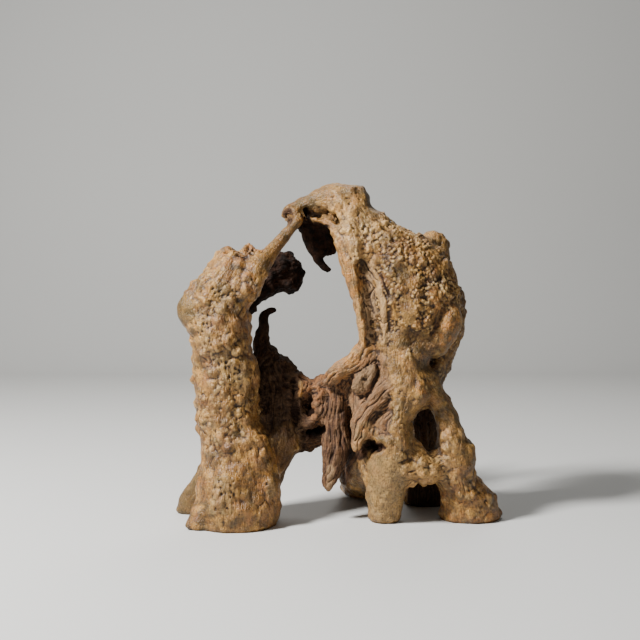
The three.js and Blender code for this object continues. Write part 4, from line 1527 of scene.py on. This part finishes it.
    @staticmethod
    def rims(points: Array, quads: Array) -> tuple[Array, Array]:
        """Finds the open edges of a piece.

        Args:
            points: The piece's vertices.
            quads: Its faces.

        Returns:
            The open edges, and for each the number of its rim.
        """
        ends = np.concatenate([quads[:, [k, (k + 1) % 4]] for k in range(4)])
        key = ends[:, 0] * len(points) + ends[:, 1]
        rim = ends[~np.isin(key, ends[:, 1] * len(points) + ends[:, 0])]
        mark = np.arange(len(points))
        while True:
            low = np.minimum(mark[rim[:, 0]], mark[rim[:, 1]])
            before = mark.copy()
            np.minimum.at(mark, rim.ravel(), np.repeat(low, 2))
            if (mark == before).all():
                break
        return rim, np.unique(mark[rim[:, 0]], return_inverse=True)[1]

    def caps(self, name: str, points: Array, rim: Array, hub: Array) -> tuple[Array, Array]:
        """Closes each rim with triangles down to the middle line of its limb, inside the wood.

        A rim edge makes a triangle with the nearest sample of the line, and one more for each step that
        the line takes along the edge.

        Args:
            name: The piece's name.
            points: Its vertices.
            rim: Its open edges.
            hub: The number of each edge's rim.

        Returns:
            The added points, and the triangles.
        """
        lines = [limb.line(self.cap_spacing).points for limb in self.limbs if limb.node == name]
        inner, caps, first = [np.zeros((0, 3))], [np.zeros((0, 3), int)], len(points)
        for number in np.unique(hub):
            a, b = rim[hub == number].T
            at = [nearest_sample(points[a], line) for line in lines]
            stray = [np.linalg.norm(points[a] - line[k], axis=1).mean() for line, k in zip(lines, at)]
            best = int(np.argmin(stray))
            at_a, at_b = at[best], nearest_sample(points[b], lines[best])
            steps = np.abs(at_b - at_a)
            way = np.repeat(np.sign(at_b - at_a), steps)
            taken = np.arange(len(way)) - np.repeat(np.cumsum(steps) - steps, steps)
            here = np.repeat(at_a, steps) + way * taken + first
            used, flat = np.unique(np.concatenate([at_a + first, here, here + way]), return_inverse=True)
            flat += first
            m, h, g = np.split(flat, [len(a), len(a) + len(here)])
            caps += [np.column_stack([b, a, m]), np.column_stack([np.repeat(b, steps), h, g])]
            inner.append(lines[best][used - first])
            first += len(used)
        return np.vstack(inner), np.vstack(caps)

    @staticmethod
    def sharpen_rim(mesh: bpy.types.Mesh, rim: Array) -> None:
        """Marks the rim's edges sharp, so that a cap inside the wood doesn't shade the skin.

        Args:
            mesh: The piece's mesh.
            rim: The edges, as pairs of vertices.
        """
        edges = np.zeros(len(mesh.edges) * 2, int)
        mesh.edges.foreach_get("vertices", edges)
        edges = np.sort(edges.reshape(-1, 2), axis=1)
        rim = np.sort(rim, axis=1)
        size = len(mesh.vertices)
        sharp = np.isin(edges[:, 0] * size + edges[:, 1], rim[:, 0] * size + rim[:, 1])
        mesh.edges.foreach_set("use_edge_sharp", sharp)


def linear(hex_colour: str) -> tuple[float, float, float, float]:
    """An sRGB hex colour in the renderer's linear light."""
    parts = [int(hex_colour[k : k + 2], 16) / 255 for k in (0, 2, 4)]
    return (*(c / 12.92 if c <= 0.04045 else ((c + 0.055) / 1.055) ** 2.4 for c in parts), 1.0)


def add_node(
    tree: bpy.types.NodeTree, kind: str, settings: dict[str, object], links: dict[str | int, object]
) -> bpy.types.Node:
    """Adds a node to a material.

    Args:
        tree: The material's node tree.
        kind: The node's type, without its ShaderNode prefix.
        settings: Its properties by name.
        links: Its inputs by name or number, each a socket to link or a value to set.

    Returns:
        The node.
    """
    node = tree.nodes.new("ShaderNode" + kind)
    for name, value in settings.items():
        setattr(node, name, value)
    for name, value in links.items():
        if isinstance(value, bpy.types.NodeSocket):
            tree.links.new(value, node.inputs[name])
        else:
            node.inputs[name].default_value = value
    return node


@dataclass(frozen=True)
class Mottle:
    """Noise whose patches are about size millimetres apart, stretched so that low is 0 and high is 1."""

    size: float
    detail: float
    low: float
    high: float
    along_grain: bool = False


@dataclass(frozen=True)
class Coat:
    """A colour over the coats before it, where its mottle is and the vertices' shade is."""

    colour: str
    strength: float = 1.0
    mottle: str = ""
    shade: str = ""


@dataclass(frozen=True)
class RootFinish:
    """The look of the root's wood, from burl skin to bare and rotted wood.

    The oiled skin of a burl has a soft sheen, and a painted highlight makes it paler on its knobs.
    Bare wood has grain lines 1 to 2 mm apart and no sheen. Rotted wood is nearly black, and all wood
    gets painted shade in its hollows. How much of each there is stands at the vertices, so the pieces
    of one grown root meet without a seam.
    """

    name: str
    ground: str = "86602f"
    skin_gloss: float = 0.38
    skin_shine: float = 0.4
    bare_gloss: float = 0.8
    rot_shine: float = 0.08
    grain_squeeze: float = 0.07
    mottles: tuple[tuple[str, Mottle], ...] = (
        ("broad", Mottle(25.0, 4.0, 0.6, 0.42)),
        ("rosy", Mottle(19.0, 4.0, 0.5, 0.68)),
        ("golden", Mottle(15.0, 4.0, 0.48, 0.64)),
        ("patchy", Mottle(8.0, 4.0, 0.36, 0.7)),
        ("streaky", Mottle(5.5, 3.0, 0.5, 0.72, along_grain=True)),
        ("fleck", Mottle(2.6, 2.0, 0.52, 0.36)),
        ("lines", Mottle(1.4, 3.0, 0.36, 0.64, along_grain=True)),
        ("pores", Mottle(2.0, 3.0, 0.3, 0.7)),
    )
    coats: tuple[Coat, ...] = (
        Coat("503d20", 0.9, mottle="broad"),
        Coat("bf8f48", 0.6, mottle="golden"),
        Coat("8c5c3b", 0.45, mottle="rosy"),
        Coat("3f2713", 0.55, mottle="streaky"),
        Coat("6b5934", 0.7, shade="olive"),
        Coat("ad702c", 0.85, mottle="patchy", shade="warm"),
        Coat("bd9860", 0.6, shade="cream"),
        Coat("2b180d", 0.45, mottle="fleck"),
        Coat("e0ba7c", 0.55, shade="rise"),  # painted highlight on knob tops, fold crests, beads and net rims
    )
    bare_coats: tuple[Coat, ...] = (
        Coat("412a1b", 1.0),
        Coat("7c5b3e", 1.0, mottle="lines"),
        Coat("b7976b", 0.8, shade="cream"),
        Coat("a8672c", 0.8, mottle="patchy", shade="warm"),
    )
    rot_coats: tuple[Coat, ...] = (
        Coat("100906", 1.0),
        Coat("2b1a10", 1.0, mottle="patchy"),
    )
    shadow: Coat = Coat("25140b", 0.85, shade="hollow")
    shadow_range: tuple[float, float] = (0.03, 0.5)
    bump_depth: float = 0.6
    line_bump: float = 0.6
    pore_bump: float = 0.7

    def build(self) -> bpy.types.Material:
        """Makes the material's nodes.

        Returns:
            The material.
        """
        material = bpy.data.materials.new(self.name)
        material.use_nodes = True
        tree = material.node_tree
        shader = tree.nodes["Principled BSDF"]
        masks = self.lay_masks(tree)
        skin = self.lay_coats(tree, masks, linear(self.ground), self.coats)
        bare = self.lay_coats(tree, masks, skin, self.bare_coats)
        rot = self.lay_coats(tree, masks, bare, self.rot_coats)
        wood = add_node(tree, "Mix", {"data_type": "RGBA"}, {0: masks["bare"], 6: skin, 7: bare}).outputs[2]
        wood = add_node(tree, "Mix", {"data_type": "RGBA"}, {0: masks["dark"], 6: wood, 7: rot}).outputs[2]
        wood = self.lay_coats(tree, masks, wood, (self.shadow,))
        gloss = add_node(tree, "Mix", {"data_type": "FLOAT"}, {
            0: masks["bare"], 2: self.skin_gloss, 3: self.bare_gloss,
        }).outputs[0]
        shine = add_node(tree, "Mix", {"data_type": "FLOAT"}, {
            0: masks["dark"], 2: self.skin_shine, 3: self.rot_shine,
        }).outputs[0]
        depth = self.bump_depth * MM
        lines = add_node(tree, "Bump", {}, {
            "Height": masks["lines"], "Strength": self.line_bump, "Distance": depth,
        }).outputs[0]
        bumps = add_node(tree, "Bump", {}, {
            "Height": masks["pores"], "Strength": self.pore_bump, "Distance": depth, "Normal": lines,
        }).outputs[0]
        looks = {"Base Color": wood, "Roughness": gloss, "Specular IOR Level": shine, "Normal": bumps}
        for name, socket in looks.items():
            tree.links.new(socket, shader.inputs[name])
        return material

    def lay_masks(self, tree: bpy.types.NodeTree) -> dict[str, bpy.types.NodeSocket]:
        """Makes the nodes that say where each coat shows.

        Args:
            tree: The material's node tree.

        Returns:
            The vertices' shades and the mottles, by name.
        """
        place = add_node(tree, "TexCoord", {}, {}).outputs["Object"]
        grain = add_node(tree, "Attribute", {"attribute_name": "grain"}, {}).outputs["Vector"]
        squeeze = (1.0, 1.0, self.grain_squeeze)
        grain = add_node(tree, "Mapping", {}, {"Vector": grain, "Scale": squeeze}).outputs[0]
        masks = {
            name: add_node(tree, "Attribute", {"attribute_name": name}, {}).outputs["Fac"]
            for name in (*TINTS, "rise", "hollow")
        }
        for name, mottle in self.mottles:
            speckle = add_node(tree, "TexNoise", {}, {
                "Vector": grain if mottle.along_grain else place,
                "Scale": 1 / (mottle.size * MM),
                "Detail": mottle.detail,
            }).outputs["Fac"]
            masks[name] = add_node(tree, "MapRange", {"interpolation_type": "SMOOTHSTEP"}, {
                "Value": speckle, "From Min": mottle.low, "From Max": mottle.high,
            }).outputs[0]
        low, high = self.shadow_range
        masks["hollow"] = add_node(tree, "MapRange", {"interpolation_type": "SMOOTHSTEP"}, {
            "Value": masks["hollow"], "From Min": low, "From Max": high,
        }).outputs[0]
        return masks

    @staticmethod
    def lay_coats(
        tree: bpy.types.NodeTree,
        masks: dict[str, bpy.types.NodeSocket],
        ground: object,
        coats: tuple[Coat, ...],
    ) -> object:
        """Lays coats of colour over a ground, each by its strength times its mottle times its shade.

        Args:
            tree: The material's node tree.
            masks: The mottles and shades by name.
            ground: The colour below, as a socket or a value.
            coats: The coats, from below.

        Returns:
            The colour on top.
        """
        for coat in coats:
            share = coat.strength
            for mask in filter(None, (coat.mottle, coat.shade)):
                factors = {0: share, 1: masks[mask]}
                share = add_node(tree, "Math", {"operation": "MULTIPLY"}, factors).outputs[0]
            colours = {0: share, 6: ground, 7: linear(coat.colour)}
            ground = add_node(tree, "Mix", {"data_type": "RGBA"}, colours).outputs[2]
        return ground


FINISHES = {
    Slot.BURL_SKIN: RootFinish("oiled_burl_skin"),
    Slot.BARE_WOOD: RootFinish("weathered_bare_wood"),
    Slot.DARK_WOOD: RootFinish("rotted_dark_wood"),
}


@dataclass(frozen=True)
class Lamp:
    """A square soft light. Lengths are millimetres, and the power is watts."""

    name: str
    place: Point
    size: float
    power: float

    def hang(self, aim: Point) -> None:
        """Hangs the lamp so that it faces a point.

        Args:
            aim: The point.
        """
        lamp = bpy.data.lights.new(self.name, "AREA")
        lamp.size = self.size * MM
        lamp.energy = self.power
        light = add_object(self.name, lamp)
        light.location = [v * MM for v in self.place]
        light.rotation_mode = "QUATERNION"
        light.rotation_quaternion = (Vector(aim) - Vector(self.place)).to_track_quat("-Z", "Y")


@dataclass(frozen=True)
class Studio:
    """Camera, backdrop and light. Lengths are millimetres, unless they are said to be pixels."""

    stand: Point = (-18.7, -1143.0, 290.0)
    horizon_pixels: float = 50.0  # from the photograph's middle up to its horizon
    focal_pixels: float = 956.5  # the lens's focal length in the photograph's pixels
    lens: float = 53.8
    floor_front: float = -2600.0
    floor_back: float = 1500.0
    bend: float = 600.0
    bend_samples: int = 24
    wall: float = 2600.0
    half_width: float = 3200.0
    floor_colour: str = "c6c5c1"
    floor_gloss: float = 0.7
    sky_colour: str = "b7b8b8"
    sky_strength: float = 0.2
    aim: Point = (0.0, -30.0, 170.0)
    lamps: tuple[Lamp, ...] = (
        Lamp("key", (-1220.0, -760.0, 1480.0), size=320.0, power=114.0),
        Lamp("fill", (1300.0, -1300.0, 600.0), size=900.0, power=2.0),
        Lamp("back", (200.0, 900.0, 1500.0), size=700.0, power=7.0),
    )

    def build(self) -> None:
        """Sets up the camera at the photograph's angle, the backdrop and the lights."""
        camera = add_object("camera", bpy.data.cameras.new("camera"))
        camera.data.lens = self.lens
        camera.location = [v * MM for v in self.stand]
        tilt = math.atan(self.horizon_pixels / self.focal_pixels)
        camera.rotation_euler = (math.pi / 2 - tilt, 0.0, 0.0)
        bpy.context.scene.camera = camera
        self.roll_out_backdrop()
        for lamp in self.lamps:
            lamp.hang(self.aim)
        world = bpy.data.worlds.new("sky")
        bpy.context.scene.world = world
        world.use_nodes = True
        sky = world.node_tree.nodes["Background"]
        sky.inputs["Color"].default_value = linear(self.sky_colour)
        sky.inputs["Strength"].default_value = self.sky_strength

    def roll_out_backdrop(self) -> None:
        """The floor and the wall as one sheet: a flat run, a quarter circle, and an upright run."""
        turn = np.linspace(0, math.pi / 2, self.bend_samples)
        y = np.concatenate([[self.floor_front], self.floor_back + self.bend * np.sin(turn)])
        z = np.concatenate([[0.0], self.bend * (1 - np.cos(turn))])
        y, z = np.append(y, y[-1]), np.append(z, self.wall)
        sides = np.array([-self.half_width, self.half_width])
        points = np.stack([np.tile(sides, len(y)), np.repeat(y, 2), np.repeat(z, 2)], axis=1)
        k = np.arange(len(y) - 1) * 2
        sheet = make_mesh("backdrop", points, [np.column_stack([k, k + 1, k + 3, k + 2])])
        sheet.polygons.foreach_set("use_smooth", np.ones(len(sheet.polygons), bool))
        backdrop = add_object("backdrop", sheet)
        paint = bpy.data.materials.new("pale_paper")
        paint.use_nodes = True
        shader = paint.node_tree.nodes["Principled BSDF"]
        shader.inputs["Base Color"].default_value = linear(self.floor_colour)
        shader.inputs["Roughness"].default_value = self.floor_gloss
        sheet.materials.append(paint)


def main() -> None:
    """Builds the root, its finishes and the studio."""
    logging.basicConfig(level=logging.INFO, format="%(message)s")
    Studio().build()
    parts = (LeftPillar(), CrossRoot(), CrownArch(), Trunk(), Shards(), Legs())
    shell = RootShell(parts)
    shell.join()
    shell.press(sum(part.swelling(shell.points) for part in parts))
    shell.even()
    shell.fill_creases()
    shell.press(sum(part.cutting(shell.points) for part in parts))
    shell.even()
    shell.refine()
    shades = shell.grow_skin()
    log.info("shell: %d vertices, %d quads", len(shell.points), len(shell.quads))
    materials = {slot: finish.build() for slot, finish in FINISHES.items()}
    owner = {limb.node: part for part in parts for limb in part.limbs}
    for name, mesh in shell.parted(shades):
        owner[name].dress(name, mesh, materials)


if __name__ == "__main__":
    main()
